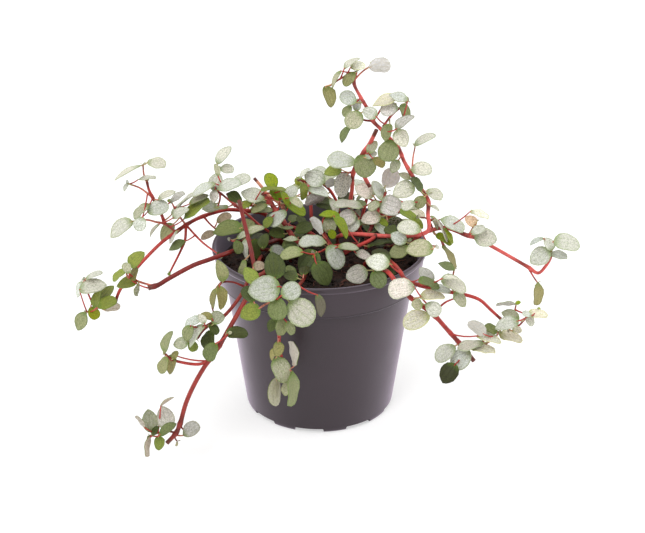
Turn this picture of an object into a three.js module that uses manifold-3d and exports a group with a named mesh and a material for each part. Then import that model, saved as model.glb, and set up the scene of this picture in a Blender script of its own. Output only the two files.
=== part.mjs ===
// A small-leaved silver pilea in a round nursery pot.
// Millimetres, +Z up, the pot's foot on z = 0. The front of the plant faces -Y.
import * as THREE from "three";
import { mergeVertices } from "three/addons/utils/BufferGeometryUtils.js";
import Module from "manifold-3d";

const wasm = await Module();
wasm.setup();

// ---- Driving dimensions -------------------------------------------------

const POT_HEIGHT = 73;
const RIM_RADIUS = 45;
const BAND_FOOT_RADIUS = 42.6; // outer radius at the lower edge of the top band
const BAND_DEPTH = 14;
const SHOULDER_RADIUS = 39.6; // outer radius just under the band
const FOOT_RADIUS = 31.9;
const BAND_FOOT = POT_HEIGHT - BAND_DEPTH;
const WALL = 1.3;
const FLOOR = 2;
const FOOT_RING_HEIGHT = 2.4; // the floor stands this far above the table
const FOOT_RING_WIDTH = 2.6;
const NOTCH_COUNT = 9;
const NOTCH_HALF_ANGLE = 11; // degrees
const NOTCH_HEIGHT = 1.8;
const FIRST_NOTCH_ANGLE = -98; // degrees from +X

const SOIL_TOP = 64.6;
const SOIL_BUMP = 0.9;
const GAP = 0.3; // left between pieces that touch
const ROOT_DEPTH = 6; // a stem's foot stands this far down in the soil
const ROOT_RISE = 2; // and it comes straight up this far before it turns

const STEM_SIDES = 4;
const TWIG_SIDES = 3;
const TWIG_WIDTH = 1.5; // stems up to this width have the fewer sides
const STALK_WIDTH = 0.75;
const BLADE_THICKNESS = 0.62;
const BLADE_CUP = 0.07; // how far the sides rise, as a share of the width
const BLADE_DROOP = 0.08; // how far the tip falls, as a share of the length
const WIDTH_TO_LENGTH = 0.87; // of a leaf blade seen square on
const WIDEST_AT = 0.4; // where a blade is widest, as a share of the length
const BLUNT_AT = 0.94; // where its blunt tip is
const BLUNT_HALF = 0.27; // half the blunt tip, as a share of the width
const STALK_REACH = 14; // the longest leaf stalk
const STALK_SHORTEST = 1.2;

// The least room between parts that don't belong together, and how finely a leaf
// stalk is stepped along to look for it.
const CLEAR_OF_BLADE = 1.5;
const CLEAR_OF_OWN_BLADE = 0.8;
const BESIDE_BLADE = 0.8;
const CLEAR_OF_STEM = 1;
const STEM_BESIDE_BLADE = 0.6;
const STALK_CLEAR_OF_BLADE = 1.1;
const STALKS_APART = 1.2;
const STALK_STEP = 1.2;
const CLEAR_OF_TABLE = 1.2;
const CLEAR_OF_SOIL = 2.2;
const SOIL_EDGE_INSIDE = 3; // the soil's edge from the rim's outer edge
const CLEAR_OF_POT = 1;
const RIM_ZONE = 4.5; // how far inside the rim's outer edge its wall is kept clear

const POT_COLOUR = 0x6a6066;
const SOIL_COLOUR = 0x241a16;
const LEAF_COLOUR = 0xb9c4ae;

// ---- The line of sight ----------------------------------------------------
// Places are read along lines of sight from the front: u to the right and v down
// on a view 645 x 533 units large, then y, how far back that line is followed.

const VIEW = { centreU: 322.5, centreV: 266.5, focus: 1354 };
const EYE = new THREE.Vector3(1.3, -520, 301.5);
const TILT = THREE.MathUtils.degToRad(24.7);
const RIGHT = new THREE.Vector3(1, 0, 0);
const AHEAD = new THREE.Vector3(0, Math.cos(TILT), -Math.sin(TILT));
const ABOVE = new THREE.Vector3(0, Math.sin(TILT), Math.cos(TILT));
const TOWARD = AHEAD.clone().negate();

function sightLine(u, v) {
  return AHEAD.clone()
    .addScaledVector(RIGHT, (u - VIEW.centreU) / VIEW.focus)
    .addScaledVector(ABOVE, (VIEW.centreV - v) / VIEW.focus);
}

function see(u, v, y) {
  const line = sightLine(u, v);
  return EYE.clone().addScaledVector(line, (y - EYE.y) / line.y);
}

function seeOnSoil(u, v) {
  const line = sightLine(u, v);
  return EYE.clone().addScaledVector(line, (SOIL_TOP - EYE.z) / line.z);
}

function shownAt(point) {
  const away = point.clone().sub(EYE);
  const range = away.dot(AHEAD);
  const u = VIEW.centreU + (VIEW.focus * away.dot(RIGHT)) / range;
  const v = VIEW.centreV - (VIEW.focus * away.dot(ABOVE)) / range;
  return { u, v, range };
}

// ---- The leafy stems --------------------------------------------------------
// A stem is { width, points }: width in millimetres and points [u, v, y]. The first
// stem of a sprig has root: [u, v], where it leaves the soil.
// A leaf is [u, v, length, width, turn, side]: the middle of the blade and its size
// as seen, and the direction from stalk to tip in degrees from +u, turning up.
// UNDER marks a blade seen from below.

const UNDER = "under";

const SPRIGS = [
  {
    name: "leafy_stem_front_hanging",
    stems: [
      {
        root: [312, 265],
        width: 1.7,
        points: [
          [305, 276, -23], [300, 284, -43], [294, 290, -49], [279, 298, -51],
        ],
      },
      {
        width: 1.4,
        points: [
          [279, 298, -51], [279, 316, -51], [279, 337, -48], [281, 356, -46], [288, 372, -45],
          [291, 386, -44],
        ],
      },
      { width: 0.9, points: [[279, 298, -51], [268, 303, -53], [259, 308, -54]] },
      { width: 0.9, points: [[281, 356, -46], [278, 368, -45], [278, 379, -44]] },
    ],
    leaves: [
      [265, 289, 30, 27, 190],
      [301, 312, 30, 28, -40],
      [291, 291, 21, 19, 25],
      [278, 309, 22, 20, -90],
      [251, 312, 19, 18, 205],
      [249, 294, 18, 13, 120],
      [320, 305, 21, 10, -75],
      [272, 325, 14, 10, -120],
      [281, 327, 18, 11, -85],
      [290, 328, 15, 9, -60],
      [278, 349, 15, 11, -90],
      [273, 354, 12, 6, -110],
      [281, 370, 26, 18, -65],
      [293.5, 353, 25.5, 9, 95, UNDER],
      [275, 392, 28, 12, -95, UNDER],
      [285.5, 388, 16, 8, -100],
      [292.5, 389, 35, 10, -88],
    ],
  },
  {
    name: "leafy_stem_front_left",
    stems: [
      {
        root: [262, 262],
        width: 1.8,
        points: [
          [255, 270, -27], [249, 278, -37], [243, 292, -41], [223, 317, -48], [206, 327, -52],
          [197, 338, -54],
        ],
      },
      {
        width: 1.9,
        points: [
          [255, 270, -27], [251, 250, -23], [247, 233, -19], [243, 217, -16], [239, 200, -13],
        ],
      },
      {
        width: 0.9,
        points: [
          [243, 286, -40], [232, 282, -41], [221, 283, -42], [213, 295, -44], [212, 306, -46],
          [214, 314, -48],
        ],
      },
      { width: 1, points: [[206, 327, -52], [195, 327, -53], [186, 333, -54]] },
      { width: 0.9, points: [[197, 338, -54], [190, 341, -55]] },
    ],
    leaves: [
      [217, 318, 14, 14, 60],
      [207, 316, 12, 7, 150],
      [193, 322, 19, 9, 205],
      [188, 333, 16, 12, 250],
      [196, 335, 25, 9, 232],
      [202, 319, 11, 7, 120],
      [214, 329, 13, 8, -45],
      [208, 340, 20, 14, -110],
      [181, 343, 15, 12, 190],
      [193, 346, 12, 10, -70],
      [221, 271, 21, 11, 100],
      [214, 298, 20, 7, -105],
      [221, 297, 23, 9, -80],
      [243, 269, 18, 9, -100],
      [259, 266, 12, 10, 10],
    ],
  },
  {
    name: "leafy_stem_front_low",
    stems: [
      {
        root: [272, 268],
        width: 2,
        points: [
          [264, 273, -30], [256, 279, -40], [246, 299, -45], [230, 327, -50], [219, 346, -53],
          [205, 366, -55], [195, 383, -57], [186, 403, -59], [180, 424, -60], [176, 433, -60],
          [167, 443, -61],
        ],
      },
      {
        width: 1.4,
        points: [
          [211, 359, -54], [200, 364, -55], [185, 363, -56], [171, 359, -57], [165, 354, -57],
        ],
      },
      { width: 0.9, points: [[219, 346, -53], [223, 340, -54], [228, 334, -55]] },
      { width: 0.8, points: [[180, 424, -60], [182, 428, -60], [185, 431, -60]] },
      { width: 0.9, points: [[176, 433, -60], [167, 431, -60], [158, 433, -60], [150, 436, -60]] },
      { width: 0.8, points: [[176, 433, -60], [175, 438, -60], [177, 441, -60]] },
    ],
    leaves: [
      [274, 266, 26, 21, 95],
      [251, 276, 20, 13, 120],
      [237, 333, 21, 12, 0],
      [211, 352, 20, 15, 240],
      [167, 342, 22, 10, 75],
      [163, 365, 18, 11, 245],
      [171, 364, 19, 12, 255],
      [175, 355, 9, 7, 60],
      [165, 418, 22, 17, 100],
      [191, 429.5, 19, 14, 38],
      [150, 421, 22, 14, 95],
      [140.5, 421.5, 15, 6, 125, UNDER],
      [167, 401, 16, 3, 38, UNDER],
      [167, 429, 19, 9, 40],
      [159, 443, 14, 10, -85],
      [148, 446, 22, 3, -100, UNDER],
      [155, 431, 12, 6, 60],
    ],
  },
  {
    name: "leafy_stem_right_front",
    stems: [
      {
        root: [365, 268],
        width: 1.9,
        points: [
          [378, 269, -26], [389, 273, -39], [399, 286, -43], [411, 298, -45], [418, 303, -45],
          [435, 316, -46], [445, 327, -47], [461, 345, -49], [474, 361, -51],
        ],
      },
      { width: 1, points: [[435, 316, -46], [439, 308, -46], [446, 302, -46], [453, 299, -46]] },
      { width: 0.9, points: [[418, 303, -45], [424, 305, -46], [428, 305, -47]] },
      {
        width: 0.9,
        points: [
          [461, 345, -49], [472, 349, -50], [485, 344, -51], [494, 338, -51], [498, 334, -51],
        ],
      },
      { width: 0.8, points: [[485, 344, -51], [483, 341, -51], [482, 337, -51]] },
      { width: 0.8, points: [[465, 350, -50], [462, 358, -51], [459, 366, -51]] },
    ],
    leaves: [
      [461, 359, 24, 18, 230],
      [445, 353, 24, 14, 215],
      [449, 373, 22, 18, 235],
      [416, 320, 28, 18, 200],
      [433, 309, 17, 15, -40],
      [432, 296, 24, 10, 5],
      [417, 304, 10, 12, 190],
      [489, 338, 24, 10, -10],
      [470, 345, 26, 8, 190],
      [484, 349, 24, 8, -2],
      [477, 328, 20, 12, 140, UNDER],
      [491, 329, 15, 9, 150],
      [401, 289, 27, 20, 190],
      [357, 274, 21, 19, 200],
      [378, 279, 18, 17, -60],
      [388, 271, 15, 9, -10],
    ],
  },
  {
    name: "leafy_stem_right_low",
    stems: [
      {
        root: [380, 258],
        width: 1.8,
        points: [
          [391, 262, -18], [399, 270, -33], [407, 281, -40], [419, 285, -41], [444, 291, -42],
          [466, 295, -43], [480, 300, -43], [491, 310, -44], [503, 321, -45],
        ],
      },
      { width: 0.9, points: [[503, 321, -45], [505, 325, -45], [508, 328, -45]] },
      { width: 0.8, points: [[503, 321, -45], [514, 312, -45], [516, 305, -45]] },
      {
        width: 0.9,
        points: [
          [508, 328, -45], [518, 326, -45], [524, 320, -45], [529, 314, -45], [537, 310, -45],
        ],
      },
      { width: 0.9, points: [[444, 291, -42], [453, 284, -42], [453, 277, -41], [454, 270, -40]] },
    ],
    leaves: [
      [426, 276, 19, 14, 120],
      [429, 283, 22, 9, -18],
      [441, 289, 20, 8, -8],
      [454, 284, 27, 15, -25],
      [450, 278, 16, 4, 5],
      [511, 316, 18, 12, 150],
      [507, 324, 23, 12, 195],
      [506, 304, 20, 4, 178, UNDER],
      [511, 337, 23, 10, -10],
      [517, 330, 10, 7, 10],
      [530, 321, 11, 9, -60],
      [538, 314, 19, 9, 0],
      [527, 314, 10, 6, 160],
      [460, 299, 17, 12, -50],
      [447, 266, 17, 8, 155],
      [398, 268, 18, 17, -60],
      [378, 262, 23, 17, 170],
    ],
  },
  {
    name: "leafy_stem_right_rim",
    stems: [
      { root: [385, 252], width: 1.5, points: [[392, 246, 2], [401, 244, -6], [408, 243, -10]] },
      { width: 0.9, points: [[408, 243, -10], [420, 245, -15], [435, 246, -18]] },
      { width: 0.9, points: [[401, 244, -6], [402, 240, -9], [406, 232, -11], [418, 229, -11]] },
    ],
    leaves: [
      [420, 249, 26, 18, 180],
      [399, 251, 21, 14, 200],
      [399, 238, 17, 14, 150],
      [409, 228, 24, 15, 170],
    ],
  },
  {
    name: "leafy_stem_center",
    stems: [
      {
        root: [328, 262],
        width: 1.7,
        points: [
          [332, 254, -6], [331, 246, -5], [326, 238, -2], [323, 228, 2], [325, 217, 5],
          [334, 213, 6],
        ],
      },
      { width: 0.9, points: [[331, 246, -5], [345, 244, -3], [358, 243, -4]] },
      { width: 0.9, points: [[331, 246, -5], [322, 251, -14], [314, 254, -20]] },
      { width: 0.9, points: [[325, 238, -2], [308, 238, 0], [299, 245, 0]] },
    ],
    leaves: [
      [335, 257, 26, 18, -60],
      [312, 242, 28, 12, 178],
      [309, 261.5, 25, 22, 232],
      [322, 273, 25, 21, -60],
      [291, 254, 24, 12, 190],
      [291, 239, 15, 5, 175],
      [348, 247, 20, 8, 0],
      [329, 225, 16, 14, -80],
      [317, 225, 20, 9, 120, UNDER],
      [330, 215, 20, 8, 170],
      [341, 226, 25, 9, -55],
      [332, 234, 10, 8, -60],
      [380, 243, 26, 5, 15],
      [364, 256, 18, 9, -20],
    ],
  },
  {
    name: "leafy_stem_center_low",
    stems: [
      {
        root: [290, 262],
        width: 1.5,
        points: [
          [284, 255, -6], [272, 250, -6], [259, 249, -4], [247, 240, -1], [240, 232, 2],
        ],
      },
      { width: 0.9, points: [[247, 240, -1], [239, 241, -2], [231, 240, -3]] },
    ],
    leaves: [
      [246, 249, 21, 7, -92],
      [256, 249, 20, 9, -80],
      [264, 241, 15, 11, 75],
      [277, 250, 14, 11, 0],
      [255, 230, 18, 8, 25],
      [243, 235, 14, 7, 30],
      [228, 229, 28, 16, 185],
      [238, 247, 14, 10, -70],
    ],
  },
  {
    name: "leafy_stem_center_right",
    stems: [
      {
        root: [366, 250],
        width: 1.6,
        points: [
          [366, 240, 10], [372, 226, 13], [377, 213, 15], [382, 202, 16], [386, 192, 17],
        ],
      },
      { width: 0.9, points: [[372, 226, 13], [360, 218, 12], [353, 210, 12]] },
      { width: 0.9, points: [[377, 213, 15], [392, 217, 12], [400, 211, 11]] },
      { width: 0.9, points: [[382, 202, 16], [372, 200, 16], [364, 196, 17]] },
    ],
    leaves: [
      [391, 206, 23, 21, -20],
      [371, 218, 19, 15, 190],
      [347, 217, 18, 16, 200],
      [353, 225, 16, 13, 225],
      [384, 231, 22, 11, -35],
      [383, 222, 13, 7, -35],
      [412, 218, 28, 10, -35],
      [348, 205, 31, 9, 172],
      [365, 191, 20, 16, 150],
      [378, 190, 21, 11, 110],
      [390, 178, 21, 18, 60, UNDER],
      [374, 206, 14, 9, 210],
      [396, 221, 17, 7, 0, UNDER],
      [357, 215, 12, 8, 80],
    ],
  },
  {
    name: "leafy_stem_tall",
    stems: [
      {
        root: [337, 250],
        width: 1.9,
        points: [
          [339, 236, 4], [352, 234, 2], [385, 236, -4], [408, 236, -6], [428, 231, -4],
          [428, 214, -1], [428, 200, 1], [421, 189, 3], [412, 175, 4], [404, 161, 5],
          [399, 149, 6], [391, 140, 6], [383, 131, 6], [373, 121, 6], [367, 108, 6], [360, 96, 6],
          [354, 83, 6], [356, 72, 6],
        ],
      },
      { width: 1, points: [[373, 121, 6], [364, 120, 7], [357, 116, 8], [350, 112, 9]] },
      { width: 0.9, points: [[373, 121, 6], [378, 114, 7], [382, 108, 8], [392, 103, 9]] },
      { width: 1, points: [[383, 127, 6], [387, 121, 7], [392, 115, 8], [401, 107, 9], [407, 102, 10]] },
      { width: 0.8, points: [[354, 83, 6], [347, 76, 5], [340, 79, 4], [334, 83, 4], [330, 86, 4]] },
      { width: 0.8, points: [[355, 79, 6], [362, 72, 7], [370, 66, 8]] },
      { width: 0.8, points: [[412, 172, 4], [413, 158, 4], [415, 147, 4]] },
      { width: 0.8, points: [[428, 203, 1], [424, 199, 0], [427, 194, 0]] },
      { width: 1.7, points: [[344, 253, -10], [358, 246, -9], [372, 239, -5], [376, 235, -3]] },
      { width: 0.9, points: [[397, 147, 6], [398, 133, 5], [401, 124, 5]] },
    ],
    leaves: [
      [380, 66, 22, 13, 5, UNDER],
      [358, 66, 15, 10, 10],
      [351, 63, 18, 7, 40],
      [349, 79, 17, 11, 230],
      [336, 79, 19, 5, 240],
      [329, 96, 21, 13, -70],
      [348, 98, 18, 15, 150],
      [357, 105, 12, 9, 90],
      [347, 111, 13, 9, 235],
      [354, 120, 20, 18, 225],
      [345, 134, 17, 8, 238],
      [370, 113, 15, 13, 150],
      [386, 100, 27, 12, 196],
      [399, 97, 19, 11, 160],
      [389, 109, 18, 14, 190],
      [405, 112, 17, 11, -70],
      [404, 122, 22, 10, 42],
      [401, 138, 18, 16, -60],
      [387, 132, 17, 11, -110],
      [388, 151, 22, 21, 250],
      [425, 139, 23, 9, 32],
      [422, 169, 21, 15, 5],
      [404, 190, 22, 18, 200],
      [417, 184, 18, 9, 120],
      [435, 194, 18, 12, -20],
      [420, 202, 14, 12, 230],
      [408, 205, 15, 10, 200],
      [435, 208, 10, 4, -25],
      [395, 166, 14, 10, 240],
      [405, 176, 13, 7, 150],
    ],
  },
  {
    name: "leafy_stem_middle",
    stems: [
      {
        root: [352, 236],
        width: 1.9,
        points: [
          [350, 222, 24], [350, 205, 22], [352, 190, 20], [353, 174, 18], [357, 163, 15],
          [364, 152, 13], [370, 143, 12], [376.5, 130, 10],
        ],
      },
      { width: 1.9, points: [[357, 163, 15], [361, 170, 14], [365, 178, 13], [370, 187, 12]] },
      { width: 0.9, points: [[353, 172, 18], [345, 173, 19], [335, 172, 20]] },
      { width: 0.9, points: [[364, 152, 13], [372, 156, 12], [378, 160, 12]] },
    ],
    leaves: [
      [364, 166, 23, 22, -60],
      [372, 147, 14, 10, 60],
      [371, 155, 12, 8, 30],
      [379, 162, 14, 10, -30],
      [341, 160, 28, 18, 170],
      [333, 171, 17, 12, 190],
      [343, 185, 24, 17, 250, UNDER],
      [331, 183, 12, 8, 200, UNDER],
    ],
  },
  {
    name: "leafy_stem_right_long",
    stems: [
      {
        root: [398, 258],
        width: 1.9,
        points: [
          [410, 244, 5], [419, 236, 5], [432, 230, 4], [446, 228, 3], [466, 235, 2], [476, 238, 1],
          [493, 247, 0], [528, 267, -2], [538, 273, -3], [545, 267, -4], [551, 256, -4],
          [549, 245, -4],
        ],
      },
      { width: 0.9, points: [[434, 233, 4], [441, 240, 2], [446, 249, 1], [450, 258, 0], [452, 268, -1]] },
      { width: 0.8, points: [[529, 269, -2], [533, 276, -3], [537, 282, -4]] },
      { width: 0.8, points: [[468, 236, 2], [472, 229, 3], [475, 222, 4]] },
      { width: 0.8, points: [[434, 233, 4], [431, 224, 5], [428, 219, 6], [420, 217, 6]] },
    ],
    leaves: [
      [485, 238, 21, 19, -10],
      [478, 230, 16, 9, 30],
      [471, 221, 13, 11, 140],
      [480, 214, 20, 8, -15],
      [453, 224, 26, 14, -20],
      [442, 229, 25, 5, -58],
      [444, 239, 18, 9, -30],
      [449, 236, 18, 6, -60],
      [435, 222, 14, 6, -60],
      [450, 257, 27, 8, -58],
      [567, 243, 26, 18, -10],
      [559, 255, 18, 9, -5],
      [540, 256, 22, 18, 215],
      [549, 244, 14, 11, 120],
      [537, 241, 15, 4, 200],
      [538, 294, 23, 12, -90],
    ],
  },
  {
    name: "leafy_stem_cut_middle",
    stems: [
      {
        root: [303, 256],
        width: 2,
        points: [
          [298, 244, 5], [289, 231, 7], [280, 216, 9], [270, 202, 11], [262, 193, 12],
        ],
      },
      {
        width: 1.5,
        points: [
          [283, 221, 8], [283, 207, 12], [275, 200, 14], [268, 195, 15], [261, 186, 16],
          [254, 178, 17],
        ],
      },
      { width: 0.9, points: [[283, 207, 12], [289, 200, 12], [293, 197, 12]] },
      { width: 0.9, points: [[270, 202, 11], [260, 206, 10], [250, 206, 10]] },
    ],
    leaves: [
      [253, 195, 23, 15, 160],
      [271, 181, 18, 13, 110],
      [276, 194, 15, 11, 120],
      [273, 189, 24, 5, 5],
      [285, 198, 16, 7, -60],
      [296, 208, 23, 11, -30],
      [291, 193, 17, 12, 60],
      [296, 202, 16, 8, -30],
      [277, 218, 22, 14, 215],
      [268, 222, 13, 9, 230],
      [259, 208, 18, 8, 200],
      [246, 204, 12, 8, 200],
      [235, 197, 16, 11, 140],
    ],
  },
  {
    name: "leafy_stem_left_low",
    stems: [
      {
        root: [281, 245],
        width: 2.1,
        points: [
          [268, 243, 8], [252, 246, 2], [236, 250, -9], [222, 255, -17], [208, 260, -20],
          [194, 265, -22], [168, 279, -26], [158, 285, -28], [148, 288, -29],
        ],
      },
      { width: 1, points: [[154, 286, -28], [140, 282, -29], [128, 277, -30], [126, 269, -30]] },
    ],
    leaves: [
      [136, 259.5, 20, 14, 50],
      [134, 274, 14, 9, 75],
      [127, 283, 20, 12, 190],
      [119, 275, 18, 8, 215],
      [137, 290, 13, 4, -105, UNDER],
      [127, 268, 12, 8, 110],
    ],
  },
  {
    name: "leafy_stem_top_left",
    stems: [
      {
        root: [272, 240],
        width: 1.2,
        points: [
          [258, 224, 20], [248, 215, 18], [239, 208, 16], [230, 201, 15], [220, 193, 14],
          [215, 191, 14],
        ],
      },
      { width: 0.9, points: [[215, 191, 14], [216, 178, 16.5], [219, 170, 17]] },
      { width: 0.9, points: [[220, 193, 14], [220, 199, 13], [218, 206, 12]] },
      { width: 0.9, points: [[215, 191, 14], [225, 189, 13], [232, 186, 13]] },
      { width: 1.5, points: [[236, 206, 16], [231, 200, 18], [227, 193, 19]] },
    ],
    leaves: [
      [216, 182, 18, 15, 80],
      [223, 155, 21, 12, 55],
      [227, 169, 14, 10, 0],
      [217, 170, 13, 5, 100],
      [241, 180, 20, 12, 25],
      [229, 185, 24, 13, 22],
      [203, 189, 26, 10, 205],
      [214, 196, 13, 9, -100],
      [209, 206, 14, 9, 200],
      [216, 208, 24, 7, 185],
    ],
  },
  {
    name: "leafy_stem_far_left",
    stems: [
      {
        root: [318, 244],
        width: 2,
        points: [
          [308, 232, 21], [291, 227, 25], [275, 220, 27], [262, 213, 27], [250, 211, 26],
          [238, 210, 25], [225, 210, 22], [200, 217.5, 16], [186, 225, 11], [176, 232, 8],
          [161, 243, 4], [136, 269, -2], [120, 290, -6], [115, 303, -8],
        ],
      },
      { width: 1, points: [[186, 225, 11], [201, 241, 1], [211, 249, -8], [218, 254, -13]] },
      { width: 1.3, points: [[186, 225, 11], [185, 240, 7], [181, 250, 3], [170, 272, -8]] },
      { width: 1.1, points: [[176, 232, 8], [165, 224, 7], [156, 222, 6], [148, 220, 5], [138, 220, 4]] },
      { width: 1.5, points: [[165, 224, 7], [160, 211, 8], [154, 200, 9], [149, 190, 9], [147, 182, 9]] },
      { width: 0.9, points: [[152, 197, 9], [140, 188, 8], [129, 184, 7]] },
      { width: 0.9, points: [[147, 182, 9], [144, 175, 9], [143, 165, 9]] },
      { width: 0.9, points: [[115, 303, -8], [105, 308, -9], [95, 308, -9], [87, 312, -10]] },
      { width: 0.9, points: [[95, 308, -9], [90, 298, -9], [86, 288, -9], [84, 281, -9]] },
      { width: 0.9, points: [[204, 217, 15.9], [210, 224, 13], [217, 230, 10]] },
      { width: 0.9, points: [[186, 225, 11], [180, 217, 12], [174, 207, 12], [172, 203, 12]] },
    ],
    leaves: [
      [92, 286.5, 26, 15, 14],
      [94, 275, 18, 6, 25],
      [80, 289, 16, 9, 245],
      [104, 296, 25, 13, 55],
      [107, 303, 20, 12, 25],
      [97, 299, 19, 11, 80],
      [112, 307, 17, 9, 20, UNDER],
      [94, 313, 14, 11, -60],
      [81, 321, 19, 14, 245],
      [127, 172, 30, 7, 205],
      [157, 163, 19, 12, -5],
      [147, 178, 18, 5, 10],
      [126, 187, 9, 5, 235],
      [158, 208, 22, 16, 20],
      [141, 211, 22, 10, 220],
      [140, 224, 15, 13, 250],
      [121, 228, 26, 16, 212],
      [166, 195, 18, 8, 30],
      [177, 197, 18, 8, 38],
      [182, 203, 30, 5, 48],
      [154, 230, 15, 4, 228],
      [180, 213, 18, 10, 35],
      [196, 208, 32, 12, 43],
      [198, 199, 20, 8, 30],
      [167, 232, 20, 13, 232],
      [173, 237, 15, 5, 235],
      [177, 245, 18, 9, 205],
      [208, 235, 16, 8, 200],
      [224, 218, 16, 10, 30],
    ],
  },
  {
    name: "leafy_stem_back_middle",
    stems: [
      {
        root: [340, 232],
        width: 1.5,
        points: [
          [339, 216, 32], [337, 203, 31], [328, 188, 30], [318, 182, 29], [307, 182, 28],
          [298, 180, 27],
        ],
      },
      { width: 0.9, points: [[337, 203, 31], [330, 198, 30], [322, 193, 30]] },
    ],
    leaves: [
      [315, 178, 21, 18, 160],
      [318, 191, 21, 11, -15],
      [315, 199, 21, 11, 200, UNDER],
      [303, 191, 17, 8, -85],
      [304, 173, 15, 5, 50],
      [299, 181, 10, 9, 120],
      [334, 206, 16, 8, -60],
    ],
  },
];

// The far side can't be seen from the front, so its leafy stems follow a rule:
// each leaves the soil near the middle, arches over the rim and carries leaves in pairs.
const BACK_STEMS = [
  { name: "leafy_stem_back_left", heading: 122, reach: 62, rise: 15, drop: 30, pairs: 5 },
  { name: "leafy_stem_back", heading: 96, reach: 66, rise: 18, drop: 14, pairs: 5 },
  { name: "leafy_stem_back_right", heading: 58, reach: 62, rise: 20, drop: 30, pairs: 5 },
  { name: "leafy_stem_right_back", heading: 38, reach: 56, rise: 16, drop: 22, pairs: 5 },
];
const BACK_ROOT_RADIUS = 33;
const BACK_SPANS = 7;
const BACK_FALL = 1.5; // the power by which such a stem falls past the rim
const BACK_BARE = 22; // samples along it before its first pair of leaves
const BACK_STEM_WIDTH = 1.7;
const BACK_LEAF_LENGTH = 9.5;
const BACK_SIZES = [0.8, 1.2]; // of that length
const BACK_TIP_SIZE = 0.75; // of the leaves in the whorl at the tip
const BACK_TIP_COUNT = 4;
const BACK_STALKS = [2.6, 5]; // the shortest and the longest stalk
const BACK_LIFT = 0.8; // how much of a pair's turn shows as height
const BACK_FORWARD = 0.35; // how far a leaf leans toward the stem's tip
const BACK_RAISE = [0.15, 0.4]; // how far it lifts
const BACK_NOD = 0.3; // how far its face nods toward the stem's tip
const PAIR_TURN = 1.2; // radians from one pair to the next
const TURN_SPREAD = 0.9; // radians, either way together
const TRIES = 8;
const SEED = 7;

// Nothing of theirs rises into the open beside and between the stems in front: these
// parts of the view, from u to u and from the top down to v.
const OPEN_VIEWS = [
  [0, 300, 188],
  [300, 322, 170],
  [370, 424, 200],
  [424, 645, 300],
];

const RANDOM_FACTOR = 16807;
const RANDOM_RANGE = 2147483647;

// Even random numbers from 0 to 1, the same on every run.
function randomFrom(seed) {
  let state = seed;
  return () => {
    state = (state * RANDOM_FACTOR) % RANDOM_RANGE;
    return state / RANDOM_RANGE;
  };
}

// ---- Stems ------------------------------------------------------------------

const SAMPLES_PER_SPAN = 8;
const FINEST = 0.12; // slivers thinner than this are merged away
const WELD = 1e-4; // corners nearer than this are one
const TINY = 1e-6;
const UP = new THREE.Vector3(0, 0, 1);

// A smooth line whose even steps fall on its own points.
class StemCurve extends THREE.CatmullRomCurve3 {
  getUtoTmapping(u) {
    return u;
  }
}

// A stem's middle line, with the points along it where leaf stalks may be fixed.
function stemLine(width, points) {
  const samples = [points[0]];
  for (let i = 1; i < points.length; i += 1) {
    for (let j = 1; j <= SAMPLES_PER_SPAN; j += 1) {
      samples.push(points[i - 1].clone().lerp(points[i], j / SAMPLES_PER_SPAN));
    }
  }
  return { width, curve: new StemCurve(points), samples };
}

function readStem({ root, width, points }) {
  const places = points.map(([u, v, y]) => see(u, v, y));
  if (root) {
    const top = seeOnSoil(...root);
    const foot = top.clone();
    foot.z -= ROOT_DEPTH;
    top.z += ROOT_RISE;
    places.unshift(foot, top);
  }
  return stemLine(width, places);
}

// An unseen stem rises from the soil, is highest over the rim and then droops.
function backStemPoints({ heading, reach, rise, drop }) {
  const turn = THREE.MathUtils.degToRad(heading);
  const place = (out, z) => new THREE.Vector3(out * Math.cos(turn), out * Math.sin(turn), z);
  const points = [
    place(BACK_ROOT_RADIUS, SOIL_TOP - ROOT_DEPTH),
    place(BACK_ROOT_RADIUS, SOIL_TOP + ROOT_RISE),
  ];
  for (let i = 1; i <= BACK_SPANS; i += 1) {
    const out = THREE.MathUtils.lerp(BACK_ROOT_RADIUS, reach, i / BACK_SPANS);
    const inward = (RIM_RADIUS - out) / (RIM_RADIUS - BACK_ROOT_RADIUS);
    const outward = (out - RIM_RADIUS) / (reach - RIM_RADIUS);
    const fall = out < RIM_RADIUS ? rise * inward ** 2 : drop * outward ** BACK_FALL;
    points.push(place(out, SOIL_TOP + rise - fall));
  }
  return points;
}

// ---- Leaves -----------------------------------------------------------------

// A blade: its base, the direction to its tip, its side-to-side direction, the
// direction its upper face looks, and its length and width.
function blade(base, along, upper, length, width) {
  const across = new THREE.Vector3().crossVectors(upper, along).normalize();
  const normal = new THREE.Vector3().crossVectors(along, across).normalize();
  const middle = base.clone().addScaledVector(along, length / 2);
  return { base, along, across, normal, middle, length, width };
}

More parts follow.
